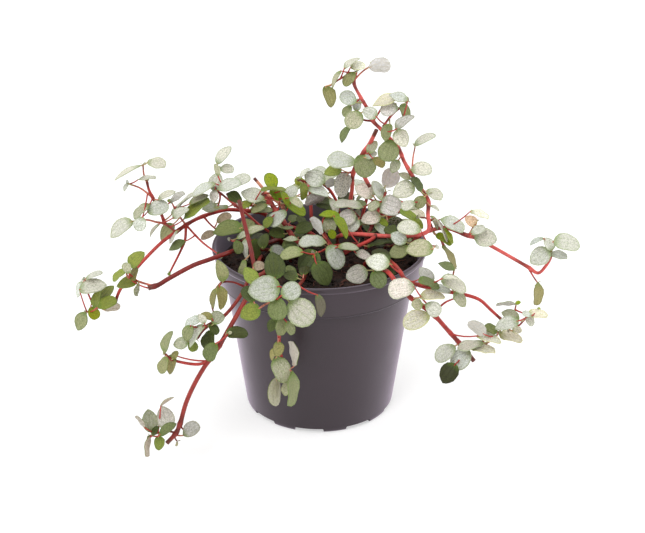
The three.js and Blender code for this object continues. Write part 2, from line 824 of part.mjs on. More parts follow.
// The true blade behind what is seen: a narrow one is rolled about its length, a
// short one leans, and of the two ways either can go, the upper face looks up.
function readBlade([u, v, seenLength, seenWidth, turn, side], anchor) {
  const angle = THREE.MathUtils.degToRad(turn);
  const seenAlong = RIGHT.clone()
    .multiplyScalar(Math.cos(angle))
    .addScaledVector(ABOVE, Math.sin(angle));
  const seenAcross = new THREE.Vector3().crossVectors(TOWARD, seenAlong);
  const baseU = u - (Math.cos(angle) * seenLength) / 2;
  const baseV = v + (Math.sin(angle) * seenLength) / 2;
  const base = see(baseU, baseV, anchor);
  const scale = shownAt(base).range / VIEW.focus;
  const full = Math.max(seenLength, seenWidth / WIDTH_TO_LENGTH);
  const lean = Math.acos(seenLength / full);
  const roll = Math.acos(Math.min(1, seenWidth / (full * WIDTH_TO_LENGTH)));
  const facing = side === UNDER ? TOWARD.clone().negate() : TOWARD.clone();
  let best = null;
  for (const leanWay of [1, -1]) {
    for (const rollWay of [1, -1]) {
      const along = seenAlong
        .clone()
        .multiplyScalar(Math.cos(lean))
        .addScaledVector(TOWARD, leanWay * Math.sin(lean));
      const square = new THREE.Vector3().crossVectors(seenAcross, along).multiplyScalar(-1);
      if (square.dot(facing) < 0) square.negate();
      const upper = square
        .multiplyScalar(Math.cos(roll))
        .addScaledVector(seenAcross, rollWay * Math.sin(roll));
      if (!best || upper.z > best.upper.z + TINY) best = { along, upper };
    }
  }
  const length = full * scale;
  return blade(base, best.along, best.upper, length, length * WIDTH_TO_LENGTH);
}

const RIM_OF_BLADE = 10; // points round a blade's edge

// How far back from its stem a leaf is tried, in order: first a little in front.
const SHIFTS = [
  -2, -3.5, -5, -0.5, -6.5, 1, -8, 2.5, 4, -9.5, 5.5, 7, 8.5, 10, 12, 14, 16, -11, -13, -15,
];
const BLADE_TO_STALK = 3; // units of the view, from a blade's base back to its stem
const LEAST_STRAIGHT = 0.05; // a stalk never turns back under its blade
const STRAIGHT_WORTH = 1.7; // the more this is, the less a straight stalk counts
const STALK_ZONE = 0.35; // of the length: a blade's own stem may come this near its base

// How far a blade stands off its flat plane, x from its base and y from its midrib.
function bend({ length, width }, x, y) {
  return BLADE_CUP * width * ((2 * y) / width) ** 2 - BLADE_DROOP * length * (x / length) ** 2;
}

// Points round the edge of a blade, with its middle last.
function edgeOf(leaf) {
  const pointAt = (x, y) =>
    leaf.base
      .clone()
      .addScaledVector(leaf.along, x)
      .addScaledVector(leaf.across, y)
      .addScaledVector(leaf.normal, bend(leaf, x, y));
  const points = [];
  for (let i = 0; i < RIM_OF_BLADE; i += 1) {
    const angle = (i * 2 * Math.PI) / RIM_OF_BLADE;
    const x = (leaf.length * (1 + Math.cos(angle))) / 2;
    points.push(pointAt(x, (Math.sin(angle) * leaf.width) / 2));
  }
  points.push(pointAt(leaf.length / 2, 0));
  return points;
}

// A point as the blade sees it: how far out of its edge (1 is on it), and how high.
function onBlade(leaf, point, margin) {
  const from = point.clone().sub(leaf.base);
  const x = from.dot(leaf.along);
  const y = from.dot(leaf.across);
  const outAlong = (x - leaf.length / 2) / (leaf.length / 2 + margin);
  const outAcross = y / (leaf.width / 2 + margin);
  const high = from.dot(leaf.normal) - bend(leaf, x, y);
  return { out: Math.hypot(outAlong, outAcross), high };
}

function edgeMeets(leaf, edge, clearance, margin) {
  const spots = edge.map((point) => onBlade(leaf, point, margin));
  const middle = spots[spots.length - 1];
  for (let i = 0; i < spots.length; i += 1) {
    const a = spots[i];
    if (a.out < 1 && Math.abs(a.high) < clearance) return true;
    for (const j of [(i + 1) % (spots.length - 1), spots.length - 1]) {
      const b = j === spots.length - 1 ? middle : spots[j];
      if (a.high * b.high >= 0) continue;
      const share = a.high / (a.high - b.high);
      const crossing = edge[i].clone().lerp(edge[j], share);
      if (onBlade(leaf, crossing, margin).out < 1) return true;
    }
  }
  return false;
}

function bladesMeet(a, b) {
  const reach = (a.length + b.length) / 2 + CLEAR_OF_BLADE;
  if (a.middle.distanceTo(b.middle) > reach) return false;
  const own = a.sprig === b.sprig;
  const clearance = own ? CLEAR_OF_OWN_BLADE : CLEAR_OF_BLADE;
  const margin = own ? 0 : BESIDE_BLADE;
  return edgeMeets(a, b.edge, clearance, margin) || edgeMeets(b, a.edge, clearance, margin);
}

// The stalk runs straight from the stem to the blade's base. It is fixed to a near
// place on the stem, and best to one that lies straight behind the blade.
function fixStalk(leaf, lines) {
  let best = null;
  for (const line of lines) {
    line.samples.forEach((sample, i) => {
      if (line.rooted && i < 2 * SAMPLES_PER_SPAN) return;
      const stalk = leaf.base.clone().sub(sample);
      const length = stalk.length();
      if (length > STALK_REACH || length < STALK_SHORTEST) return;
      const straight = stalk.dot(leaf.along) / length;
      if (straight < LEAST_STRAIGHT) return;
      const cost = length * (STRAIGHT_WORTH - straight);
      if (!best || cost < best.cost) best = { cost, length, foot: sample };
    });
  }
  return best;
}

function stalkPoints(leaf) {
  const count = Math.ceil(leaf.stalk.length / STALK_STEP);
  const points = [];
  for (let i = 1; i <= count; i += 1) {
    points.push(leaf.stalk.foot.clone().lerp(leaf.base, i / count));
  }
  return points;
}

// Inside the pot's wall, the soil or the table, or too near one of them.
function meetsPot(point) {
  const out = Math.hypot(point.x, point.y);
  const { z } = point;
  if (z < CLEAR_OF_TABLE) return true;
  if (z < SOIL_TOP + CLEAR_OF_SOIL && out < RIM_RADIUS - SOIL_EDGE_INSIDE) return true;
  if (z > BAND_FOOT - CLEAR_OF_POT) {
    const atWall = out > RIM_RADIUS - RIM_ZONE && out < RIM_RADIUS + CLEAR_OF_POT;
    return z < POT_HEIGHT + CLEAR_OF_POT && atWall;
  }
  return out < THREE.MathUtils.lerp(FOOT_RADIUS, SHOULDER_RADIUS, z / BAND_FOOT) + CLEAR_OF_POT;
}

// Whether a stalk's point runs through or along a blade that isn't its own.
function crossesBlade(blade, point) {
  const spot = onBlade(blade, point, STEM_BESIDE_BLADE);
  return spot.out < 1 && Math.abs(spot.high) < STALK_CLEAR_OF_BLADE;
}

function isClear(leaf, placed, lines) {
  if (leaf.edge.some(meetsPot)) return false;
  const stalk = stalkPoints(leaf);
  if (stalk.some(meetsPot)) return false;
  for (const other of placed) {
    if (bladesMeet(leaf, other)) return false;
    if (leaf.sprig === other.sprig) continue;
    const reach = other.length / 2 + STALK_REACH + leaf.length;
    if (leaf.middle.distanceTo(other.middle) > reach) continue;
    if (stalk.some((point) => crossesBlade(other, point))) return false;
    if (other.stalkLine.some((point) => crossesBlade(leaf, point))) return false;
    const near = (point) => other.stalkLine.some((q) => q.distanceTo(point) < STALKS_APART);
    if (stalk.some(near)) return false;
  }
  for (const line of lines) {
    const own = line.sprig === leaf.sprig;
    const clearance = line.width / 2 + CLEAR_OF_STEM;
    for (const sample of line.samples) {
      const spot = onBlade(leaf, sample, own ? -STEM_BESIDE_BLADE : STEM_BESIDE_BLADE);
      const inOwnStalk = own && sample.distanceTo(leaf.base) < leaf.length * STALK_ZONE;
      if (spot.out < 1 && Math.abs(spot.high) < clearance && !inOwnStalk) return false;
      if (!own && stalk.some((point) => point.distanceTo(sample) < clearance)) return false;
    }
  }
  return true;
}

// Depth of the stem behind a seen spot, from the sample nearest to it in the view.
function depthNear(u, v, lines) {
  let best = null;
  for (const line of lines) {
    line.samples.forEach((sample, i) => {
      if (line.rooted && i < 2 * SAMPLES_PER_SPAN) return;
      const shown = line.shown[i];
      const distance = Math.hypot(shown.u - u, shown.v - v);
      if (!best || distance < best.distance) best = { distance, y: sample.y };
    });
  }
  return best.y;
}

// A leaf is tried where it is read, and then nearer and farther along the line of
// sight, until it clears the leaves and stems already there. One that never does
// is left out.
function placeLeaf(row, sprig, placed, allLines) {
  const angle = THREE.MathUtils.degToRad(row[4]);
  const footU = row[0] - Math.cos(angle) * (row[2] / 2 + BLADE_TO_STALK);
  const footV = row[1] + Math.sin(angle) * (row[2] / 2 + BLADE_TO_STALK);
  const depth = depthNear(footU, footV, sprig.lines);
  SHIFTS.some((shift) => settle(readBlade(row, depth + shift), sprig, placed, allLines));
}

function settle(leaf, sprig, placed, allLines) {
  leaf.sprig = sprig.name;
  leaf.stalk = fixStalk(leaf, sprig.lines);
  if (!leaf.stalk) return false;
  leaf.edge = edgeOf(leaf);
  if (!isClear(leaf, placed, allLines)) return false;
  leaf.stalkLine = stalkPoints(leaf);
  placed.push(leaf);
  return true;
}

function within([low, high], random) {
  return low + (high - low) * random();
}

function backLeaf(line, index, turn, size, random) {
  const foot = line.samples[index];
  const next = line.samples[Math.min(index + 1, line.samples.length - 1)];
  const before = line.samples[Math.max(index - 1, 0)];
  const ahead = next.clone().sub(before).normalize();
  const side = new THREE.Vector3().crossVectors(ahead, UP).normalize();
  const lift = new THREE.Vector3().crossVectors(side, ahead);
  const along = side
    .multiplyScalar(Math.cos(turn))
    .addScaledVector(lift, Math.sin(turn) * BACK_LIFT)
    .addScaledVector(ahead, BACK_FORWARD)
    .addScaledVector(UP, within(BACK_RAISE, random))
    .normalize();
  const length = BACK_LEAF_LENGTH * size * within(BACK_SIZES, random);
  const base = foot.clone().addScaledVector(along, within(BACK_STALKS, random));
  const upper = UP.clone().addScaledVector(ahead, BACK_NOD * random());
  return blade(base, along, upper, length, length * WIDTH_TO_LENGTH);
}

function showsInTheOpen(leaf) {
  const tip = leaf.base.clone().addScaledVector(leaf.along, leaf.length);
  return [leaf.middle, tip].some((point) => {
    const { u, v } = shownAt(point);
    return OPEN_VIEWS.some(([left, right, bottom]) => u > left && u < right && v < bottom);
  });
}

// Leaf pairs along an unseen stem, each pair turned on from the last, and a small
// whorl at its tip.
function leafBackStem(spec, sprig, placed, allLines, random) {
  const [line] = sprig.lines;
  const last = line.samples.length - 1;
  for (let pair = 0; pair < spec.pairs; pair += 1) {
    const share = pair / (spec.pairs - 1);
    const index = Math.round(THREE.MathUtils.lerp(BACK_BARE, last, share));
    const tip = pair === spec.pairs - 1;
    const count = tip ? BACK_TIP_COUNT : 2;
    for (let i = 0; i < count; i += 1) {
      for (let attempt = 0; attempt < TRIES; attempt += 1) {
        const spread = (random() - 0.5) * TURN_SPREAD;
        const turn = (i * 2 * Math.PI) / count + (pair % 2) * PAIR_TURN + spread;
        const leaf = backLeaf(line, index, turn, tip ? BACK_TIP_SIZE : 1, random);
        if (!showsInTheOpen(leaf) && settle(leaf, sprig, placed, allLines)) break;
      }
    }
  }
}

// ---- Laying out the plant ------------------------------------------------------

function readSprig({ name, stems }) {
  const lines = stems.map((stem) => {
    const line = readStem(stem);
    return { ...line, sprig: name, rooted: Boolean(stem.root) };
  });
  return { name, lines };
}

function backSprig(spec) {
  const line = stemLine(BACK_STEM_WIDTH, backStemPoints(spec));
  return { name: spec.name, lines: [{ ...line, sprig: spec.name, rooted: true }] };
}

function layOutPlant() {
  const read = SPRIGS.map(readSprig);
  const back = BACK_STEMS.map(backSprig);
  const sprigs = [...read, ...back];
  const allLines = sprigs.flatMap((sprig) => sprig.lines);
  for (const line of allLines) line.shown = line.samples.map(shownAt);
  const placed = [];
  SPRIGS.forEach(({ leaves }, i) => {
    for (const row of leaves) placeLeaf(row, read[i], placed, allLines);
  });
  const random = randomFrom(SEED);
  BACK_STEMS.forEach((spec, i) => leafBackStem(spec, back[i], placed, allLines, random));
  return { sprigs, placed };
}

// ---- Solids -------------------------------------------------------------------

function solidOf(geometry) {
  const bare = geometry.clone();
  for (const extra of ["normal", "uv"]) bare.deleteAttribute(extra);
  const { attributes, index } = mergeVertices(bare, WELD);
  const vertProperties = new Float32Array(attributes.position.array);
  const triVerts = new Uint32Array(index.array);
  return new wasm.Manifold(new wasm.Mesh({ numProp: 3, vertProperties, triVerts }));
}

function meshOf(name, solid, material) {
  const { vertProperties, triVerts } = solid.getMesh();
  const geometry = new THREE.BufferGeometry();
  geometry.setAttribute("position", new THREE.BufferAttribute(vertProperties, 3));
  geometry.setIndex(new THREE.BufferAttribute(triVerts, 1));
  geometry.computeVertexNormals();
  const mesh = new THREE.Mesh(geometry, material);
  mesh.name = name;
  return mesh;
}

// A profile of [radius, height] points turned round the pot's axis.
function turned(profile, segments) {
  const points = profile.map(([radius, height]) => new THREE.Vector2(radius, height));
  return new THREE.LatheGeometry(points, segments).rotateX(Math.PI / 2);
}

// A round bar along a stem's middle line, with a few flat sides.
function stemSolid({ curve, width }) {
  const section = new THREE.Shape();
  const sides = width > TWIG_WIDTH ? STEM_SIDES : TWIG_SIDES;
  for (let i = 0; i < sides; i += 1) {
    const angle = (i * 2 * Math.PI) / sides;
    const x = (Math.cos(angle) * width) / 2;
    const y = (Math.sin(angle) * width) / 2;
    if (i === 0) section.moveTo(x, y);
    else section.lineTo(x, y);
  }
  const steps = curve.points.length - 1;
  return solidOf(new THREE.ExtrudeGeometry(section, { steps, bevelEnabled: false, extrudePath: curve }));
}

const TAIL = -1; // marks the corners of a leaf's outline that go to its stem
const STEEPEST = 0.7; // past this a stalk's flat side is turned, so it stays wide

// A leaf: a thin round blade with a blunt tip, and its stalk as a flat tail whose
// end lies in the stem.
function leafSolid(leaf) {
  const { base, along, across, normal, length, width, stalk } = leaf;
  const half = STALK_WIDTH / 2;
  const outline = [
    [TAIL, -half],
    [0, -half],
    [WIDEST_AT * length, -width / 2],
    [BLUNT_AT * length, -BLUNT_HALF * width],
    [BLUNT_AT * length, BLUNT_HALF * width],
    [WIDEST_AT * length, width / 2],
    [0, half],
    [TAIL, half],
  ];
  const shape = new THREE.Shape(outline.map(([x, y]) => new THREE.Vector2(x, y)));
  const options = { depth: BLADE_THICKNESS, bevelEnabled: false };
  const geometry = new THREE.ExtrudeGeometry(shape, options);
  const run = base.clone().sub(stalk.foot).normalize();
  const tailAcross = across.clone();
  if (Math.abs(across.dot(run)) > STEEPEST) tailAcross.crossVectors(normal, run);
  tailAcross.addScaledVector(run, -tailAcross.dot(run)).normalize();
  const tailNormal = new THREE.Vector3().crossVectors(run, tailAcross).normalize();
  const { position } = geometry.attributes;
  const point = new THREE.Vector3();
  for (let i = 0; i < position.count; i += 1) {
    const x = position.getX(i);
    const y = position.getY(i);
    const z = position.getZ(i) - BLADE_THICKNESS / 2;
    if (x < 0) {
      point.copy(stalk.foot).addScaledVector(tailAcross, y).addScaledVector(tailNormal, z);
    } else {
      point.copy(base).addScaledVector(along, x).addScaledVector(across, y);
      point.addScaledVector(normal, z + bend(leaf, x, y));
    }
    position.setXYZ(i, point.x, point.y, point.z);
  }
  return solidOf(geometry);
}

const FLOOR_TOP = FOOT_RING_HEIGHT + FLOOR;
const POT_SEGMENTS = 32;
const SOIL_SEGMENTS = 16;
const EDGE_BREAK = 0.8; // the small slope at the foot's edge and under the band
const LIP_DEPTH = 1.4; // the rim's thicker lip
const LIP_OUT = 0.5; // how far the lip stands out from the band
const LIP_SLOPE = 0.4;
const LIP_INSIDE = 0.3; // how far the lip narrows the opening
const STEP_INSIDE = 0.4; // how far the inner step lies under the outer one
const NOTCH_CUT = 7.8; // the notch cutter's depth through the foot ring
const FINEST_OF_POT = 0.03;

function potSolid() {
  const profile = [
    [0, FOOT_RING_HEIGHT],
    [FOOT_RADIUS - FOOT_RING_WIDTH, FOOT_RING_HEIGHT],
    [FOOT_RADIUS - FOOT_RING_WIDTH, 0],
    [FOOT_RADIUS - EDGE_BREAK, 0],
    [FOOT_RADIUS, EDGE_BREAK],
    [SHOULDER_RADIUS, BAND_FOOT - EDGE_BREAK],
    [BAND_FOOT_RADIUS, BAND_FOOT],
    [RIM_RADIUS - LIP_OUT, POT_HEIGHT - LIP_DEPTH],
    [RIM_RADIUS, POT_HEIGHT - LIP_DEPTH + LIP_SLOPE],
    [RIM_RADIUS, POT_HEIGHT],
    [RIM_RADIUS - WALL - LIP_INSIDE, POT_HEIGHT],
    [BAND_FOOT_RADIUS - WALL, BAND_FOOT + EDGE_BREAK],
    [SHOULDER_RADIUS - WALL, BAND_FOOT - STEP_INSIDE],
    [FOOT_RADIUS - WALL, FLOOR_TOP],
    [0, FLOOR_TOP],
  ];
  let pot = solidOf(turned(profile, POT_SEGMENTS));
  for (let i = 0; i < NOTCH_COUNT; i += 1) {
    const middle = THREE.MathUtils.degToRad(FIRST_NOTCH_ANGLE + (i * 360) / NOTCH_COUNT);
    const width = 2 * FOOT_RADIUS * Math.sin(THREE.MathUtils.degToRad(NOTCH_HALF_ANGLE));
    const cutter = new THREE.BoxGeometry(NOTCH_CUT, width, 2 * NOTCH_HEIGHT)
      .translate(FOOT_RADIUS - FOOT_RING_WIDTH / 2, 0, 0)
      .rotateZ(middle);
    pot = pot.subtract(solidOf(cutter));
  }
  return pot.asOriginal().simplify(FINEST_OF_POT);
}

const EDGE_RINGS = [0.7, 0.35]; // rings across the soil's top, as shares of its radius
const FLAT_EDGE = 1; // the soil's top stays level this near its edge
const TOP_LAYER = 0.1; // corners this near the top belong to it
const HOLE_SIDES = 5;
const HOLE_ROOM = [0.5, 1.8]; // round a stem's foot, at the bottom and at the top
const HOLE_ABOVE = 4; // the cutter reaches this far over the soil's level

// Low lumps in the soil's top, from -1.5 to 1.5.
function lumpAt(x, y) {
  return Math.sin(0.23 * x + 0.6) * Math.cos(0.19 * y - 0.4) + 0.5 * Math.sin(0.4 * (x + y));
}

function soilSolid(sprigs) {
  const soilEdge = THREE.MathUtils.mapLinear(
    SOIL_TOP,
    BAND_FOOT,
    POT_HEIGHT,
    BAND_FOOT_RADIUS,
    RIM_RADIUS,
  );
  const edge = soilEdge - WALL - 2 * GAP;
  const profile = [
    [0, FLOOR_TOP + GAP],
    [FOOT_RADIUS - WALL - GAP, FLOOR_TOP + GAP],
    [SHOULDER_RADIUS - WALL - GAP, BAND_FOOT - STEP_INSIDE],
    [BAND_FOOT_RADIUS - WALL - 2 * GAP, BAND_FOOT + EDGE_BREAK + GAP],
    [edge, SOIL_TOP],
    ...EDGE_RINGS.map((share) => [edge * share, SOIL_TOP]),
    [0, SOIL_TOP],
  ];
  const geometry = turned(profile, SOIL_SEGMENTS);
  const { position } = geometry.attributes;
  for (let i = 0; i < position.count; i += 1) {
    const x = position.getX(i);
    const y = position.getY(i);
    const z = position.getZ(i);
    if (z < SOIL_TOP - TOP_LAYER || Math.hypot(x, y) > edge - FLAT_EDGE) continue;
    position.setZ(i, z + SOIL_BUMP * lumpAt(x, y));
  }
  let soil = solidOf(geometry);
  for (const { lines } of sprigs) {
    const [line] = lines;
    const foot = line.curve.points[0];
    const depth = ROOT_DEPTH + GAP + HOLE_ABOVE;
    const [low, high] = HOLE_ROOM.map((room) => line.width / 2 + room);
    const hole = new THREE.CylinderGeometry(high, low, depth, HOLE_SIDES)
      .rotateX(Math.PI / 2)
      .translate(foot.x, foot.y, foot.z - GAP + depth / 2);
    soil = soil.subtract(solidOf(hole));
  }
  return soil.asOriginal().simplify(FINEST);
}

function sprigSolid({ name, lines }, placed) {
  const pieces = lines.map(stemSolid);
  for (const leaf of placed) {
    if (leaf.sprig === name) pieces.push(leafSolid(leaf));
  }
  return wasm.Manifold.union(pieces).asOriginal().simplify(FINEST);
}

// ---- The plant --------------------------------------------------------------

const { sprigs, placed } = layOutPlant();
const leafMaterial = new THREE.MeshStandardMaterial({ color: LEAF_COLOUR, roughness: 0.55 });
const potMaterial = new THREE.MeshStandardMaterial({ color: POT_COLOUR, roughness: 0.5 });
const soilMaterial = new THREE.MeshStandardMaterial({ color: SOIL_COLOUR, roughness: 1 });

const plant = new THREE.Group();
plant.add(meshOf("pot", potSolid(), potMaterial));
plant.add(meshOf("soil", soilSolid(sprigs), soilMaterial));
for (const sprig of sprigs) {
  plant.add(meshOf(sprig.name, sprigSolid(sprig, placed), leafMaterial));
}

// The axes' origin is put under the middle of the whole object.
const middle = new THREE.Box3().setFromObject(plant).getCenter(new THREE.Vector3());
plant.children.forEach(({ geometry }) => geometry.translate(-middle.x, -middle.y, 0));

export default plant;
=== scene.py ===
"""A small-leaved silver pilea in a 9 cm nursery pot: red stems, round silvery leaves."""

import math
import random

import bpy
import numpy as np
from mathutils import Matrix, Vector


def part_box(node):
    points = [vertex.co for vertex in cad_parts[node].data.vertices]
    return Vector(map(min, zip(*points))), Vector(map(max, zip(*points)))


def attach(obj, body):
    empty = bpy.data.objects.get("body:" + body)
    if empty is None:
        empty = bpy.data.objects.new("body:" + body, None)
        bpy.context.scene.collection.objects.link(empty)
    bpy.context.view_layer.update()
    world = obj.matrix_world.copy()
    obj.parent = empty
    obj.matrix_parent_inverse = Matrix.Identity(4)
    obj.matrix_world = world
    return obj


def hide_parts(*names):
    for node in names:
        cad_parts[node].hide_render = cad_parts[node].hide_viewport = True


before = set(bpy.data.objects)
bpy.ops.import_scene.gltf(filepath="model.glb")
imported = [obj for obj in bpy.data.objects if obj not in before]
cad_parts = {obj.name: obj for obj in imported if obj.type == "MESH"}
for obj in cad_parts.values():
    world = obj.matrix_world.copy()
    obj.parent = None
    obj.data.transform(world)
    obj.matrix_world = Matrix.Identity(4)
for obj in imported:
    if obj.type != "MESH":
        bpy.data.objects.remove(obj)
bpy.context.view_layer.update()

MM = 0.001

# ---- Camera ---------------------------------------------------------------------
# The plant is seen from the front and a little above, from half a metre away.
# The pot's own axis is the measure for every place in this file.

pot_low, pot_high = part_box("pot")
POT_X = (pot_low.x + pot_high.x) / 2
POT_Y = (pot_low.y + pot_high.y) / 2
RIM_RADIUS = (pot_high.x - pot_low.x) / 2
POT_HEIGHT = pot_high.z

EYE = np.array([1.3, -520.0, 301.5])  # millimetres from the pot's axis
TILT = math.radians(24.7)  # looking down
VIEW_CENTRE = (322.5, 266.5)
VIEW_WIDTH = 645
FOCUS = 1354  # in the view's own units
SENSOR = 36  # millimetres wide

bpy.ops.object.camera_add(
    location=(POT_X + EYE[0] * MM, POT_Y + EYE[1] * MM, EYE[2] * MM),
    rotation=(math.pi / 2 - TILT, 0, 0),
)
camera = bpy.context.object
camera.name = "camera"
camera.data.sensor_width = SENSOR
camera.data.lens = FOCUS * SENSOR / VIEW_WIDTH
camera.data.clip_start = 0.01
camera.data.clip_end = 20
bpy.context.scene.camera = camera


# ---- Pot ------------------------------------------------------------------------
# One moulded nursery pot in taupe-grey plastic with a satin skin. It has a plain
# band under the rim, a small step, a tapering wall and a foot ring with notches.

BAND_DEPTH = 14 * MM
BAND_FOOT_RADIUS = 42.6 * MM
BAND_SLOPE = 0.15  # how fast the band widens to the rim
SHOULDER_RADIUS = 39.6 * MM
FOOT_RADIUS = 31.9 * MM
WALL = 1.3 * MM
FOOT_RING_HEIGHT = 2.4 * MM
FOOT_RING_WIDTH = 2.6 * MM
FLOOR = 2 * MM
NOTCHES = 9
NOTCH_WIDTH = 12.2 * MM
NOTCH_HEIGHT = 1.8 * MM
NOTCH_ROUNDING = 0.4 * MM
FIRST_NOTCH = math.radians(-98)
POT_SIDES = 180
POT_CREASE = math.radians(32)  # a sharper edge than this stays sharp
POT_DARK = (52, 43, 48)
POT_LIGHT = (60, 50, 56)
# Painted light: the inside over the soil is lighter than the plastic outside.
POT_INSIDE_LIT = (88, 84, 94)
SHEEN_TINT = (0.9, 0.74, 0.95, 1)
# Painted shade under the band's step and low on the wall near the foot:
STEP_SHADE_UNDER = 0.4 * MM  # the shade's middle, under the step
STEP_SHADE = (0.5 * MM, 1.8 * MM)  # how far from there it is full, and where it ends
INSIDE_LIGHT = (1 * MM, 3 * MM)  # above the step: where it starts, and where it is full
MID_WALL = 0.1 * MM  # the inside's colour starts this near the middle of the wall
FOOT_SHADE_HEIGHT = 50 * MM


def start_fresh():
    """Nothing is selected, so the next operator acts only on what it adds."""
    if bpy.context.object and bpy.context.object.mode != "OBJECT":
        bpy.ops.object.mode_set(mode="OBJECT")
    bpy.ops.object.select_all(action="DESELECT")


def only(*things):
    """These objects are selected, and the first is the active one."""
    start_fresh()
    for thing in things:
        thing.select_set(True)
    bpy.context.view_layer.objects.active = things[0]


def named(thing, name):
    thing.name = name
    thing.data.name = name
    return thing


def added(name):
    """The object that an operator has just added."""
    return named(bpy.context.object, name)


def joined(things, name):
    """Join objects into the first one."""
    only(*things)
    bpy.ops.object.join()
    return named(things[0], name)


def settle(thing):
    """Put a finished piece's place into its mesh."""
    only(thing)
    bpy.ops.object.transform_apply(location=True, rotation=True, scale=True)


def modify(thing, kind, **settings):
    """Add a modifier and apply it."""
    only(thing)
    modifier = thing.modifiers.new(kind.lower(), kind)
    for key, value in settings.items():
        setattr(modifier, key, value)
    bpy.ops.object.modifier_apply(modifier=modifier.name)


def material(name, roughness, specular=0.5):
    """A material with its shader, and a function that adds and links a node."""
    made = bpy.data.materials.new(name)
    made.use_nodes = True
    tree = made.node_tree
    shader = tree.nodes["Principled BSDF"]
    shader.inputs["Roughness"].default_value = roughness
    shader.inputs["Specular IOR Level"].default_value = specular

    def node(kind, links=None, **settings):
        new = tree.nodes.new(kind)
        for key, value in settings.items():
            setattr(new, key, value)
        for socket, value in (links or {}).items():
            if isinstance(value, bpy.types.NodeSocket):
                tree.links.new(value, new.inputs[socket])
            else:
                new.inputs[socket].default_value = value
        return new

    return made, shader, node


def object_place(node):
    return node("ShaderNodeTexCoord").outputs["Object"]


def mix(node, share, first, second, blend="MIX"):
    """A colour mix node's result."""
    sockets = {0: share, 6: first, 7: second}
    return node("ShaderNodeMix", sockets, data_type="RGBA", blend_type=blend).outputs[2]


def shaded(node, colour, shade):
    """A colour times a number from 0, black, past 1, brighter."""
    grey = node("ShaderNodeCombineColor", {0: shade, 1: shade, 2: shade}).outputs[0]
    return mix(node, 1.0, colour, grey, "MULTIPLY")


def figure(node, operation, first, second=0.0, third=0.0):
    """The result of one sum on numbers."""
    return node("ShaderNodeMath", {0: first, 1: second, 2: third}, operation=operation).outputs[0]


def between(node, value, low, high, from_value=0.0, to_value=1.0):
    """A smooth step from one value to another while value goes from low to high."""
    sockets = {0: value, 1: low, 2: high, 3: from_value, 4: to_value}
    return node("ShaderNodeMapRange", sockets, interpolation_type="SMOOTHSTEP").outputs[0]


def noise(node, place, scale, detail=3.0, rough=0.5):
    """A soft random pattern, from 0 to 1."""
    sockets = {"Vector": place, "Scale": scale, "Detail": detail, "Roughness": rough}
    return node("ShaderNodeTexNoise", sockets).outputs["Fac"]


def paint(shader, socket, value):
    """Link a pattern to a socket of the shader."""
    shader.id_data.links.new(value, shader.inputs[socket])


def bump(node, shader, height, depth, strength=1.0):
    """Raise the shader's surface by a height pattern."""
    relief = node("ShaderNodeBump", {"Height": height, "Distance": depth, "Strength": strength})
    paint(shader, "Normal", relief.outputs[0])


def linear(red, green, blue):
    """A screen colour from 0 to 255 as the light that it stands for."""
    return tuple((part / 255) ** 2.2 for part in (red, green, blue)) + (1.0,)


pot_plastic, shader, node = material("taupe_plastic", 0.42, specular=0.35)
place = object_place(node)
clouds = noise(node, place, 60, 4)
grain = noise(node, place, 2600, 2)
colour = mix(node, clouds, linear(*POT_DARK), linear(*POT_LIGHT))
# Painted light: the inside over the soil is lighter, as light comes through the thin band.
# Painted shade darkens the step under the band and the wall near the foot.
level = node("ShaderNodeSeparateXYZ", {"Vector": place}).outputs[2]
above_step = figure(node, "SUBTRACT", level, POT_HEIGHT - BAND_DEPTH)
flat = node("ShaderNodeVectorMath", {0: place, 1: (1, 1, 0)}, operation="MULTIPLY").outputs[0]
off_axis = node("ShaderNodeVectorMath", {0: flat, 1: (POT_X, POT_Y, 0)}, operation="DISTANCE")
from_axis = off_axis.outputs["Value"]
mid_wall = figure(node, "MULTIPLY_ADD", above_step, BAND_SLOPE, BAND_FOOT_RADIUS - WALL / 2)
past_middle = figure(node, "SUBTRACT", from_axis, mid_wall)
inside = between(node, past_middle, -MID_WALL, MID_WALL, 1.0, 0.0)
inside = figure(node, "MULTIPLY", inside, between(node, above_step, *INSIDE_LIGHT))
colour = mix(node, inside, colour, linear(*POT_INSIDE_LIT))
off_step = figure(node, "ABSOLUTE", figure(node, "ADD", above_step, STEP_SHADE_UNDER))
foot_shade = between(node, level, 0.0, FOOT_SHADE_HEIGHT, 0.8, 1.0)
shade = figure(node, "MULTIPLY", between(node, off_step, *STEP_SHADE, 0.6, 1.0), foot_shade)
paint(shader, "Base Color", shaded(node, colour, shade))
paint(shader, "Roughness", between(node, clouds, 0.3, 0.7, 0.36, 0.47))
paint(shader, "Sheen Weight", between(node, off_step, *STEP_SHADE, 0.1, 0.8))
shader.inputs["Sheen Roughness"].default_value = 0.35
shader.inputs["Sheen Tint"].default_value = SHEEN_TINT
bump(node, shader, figure(node, "ADD", grain, clouds), 0.00006, 0.5)


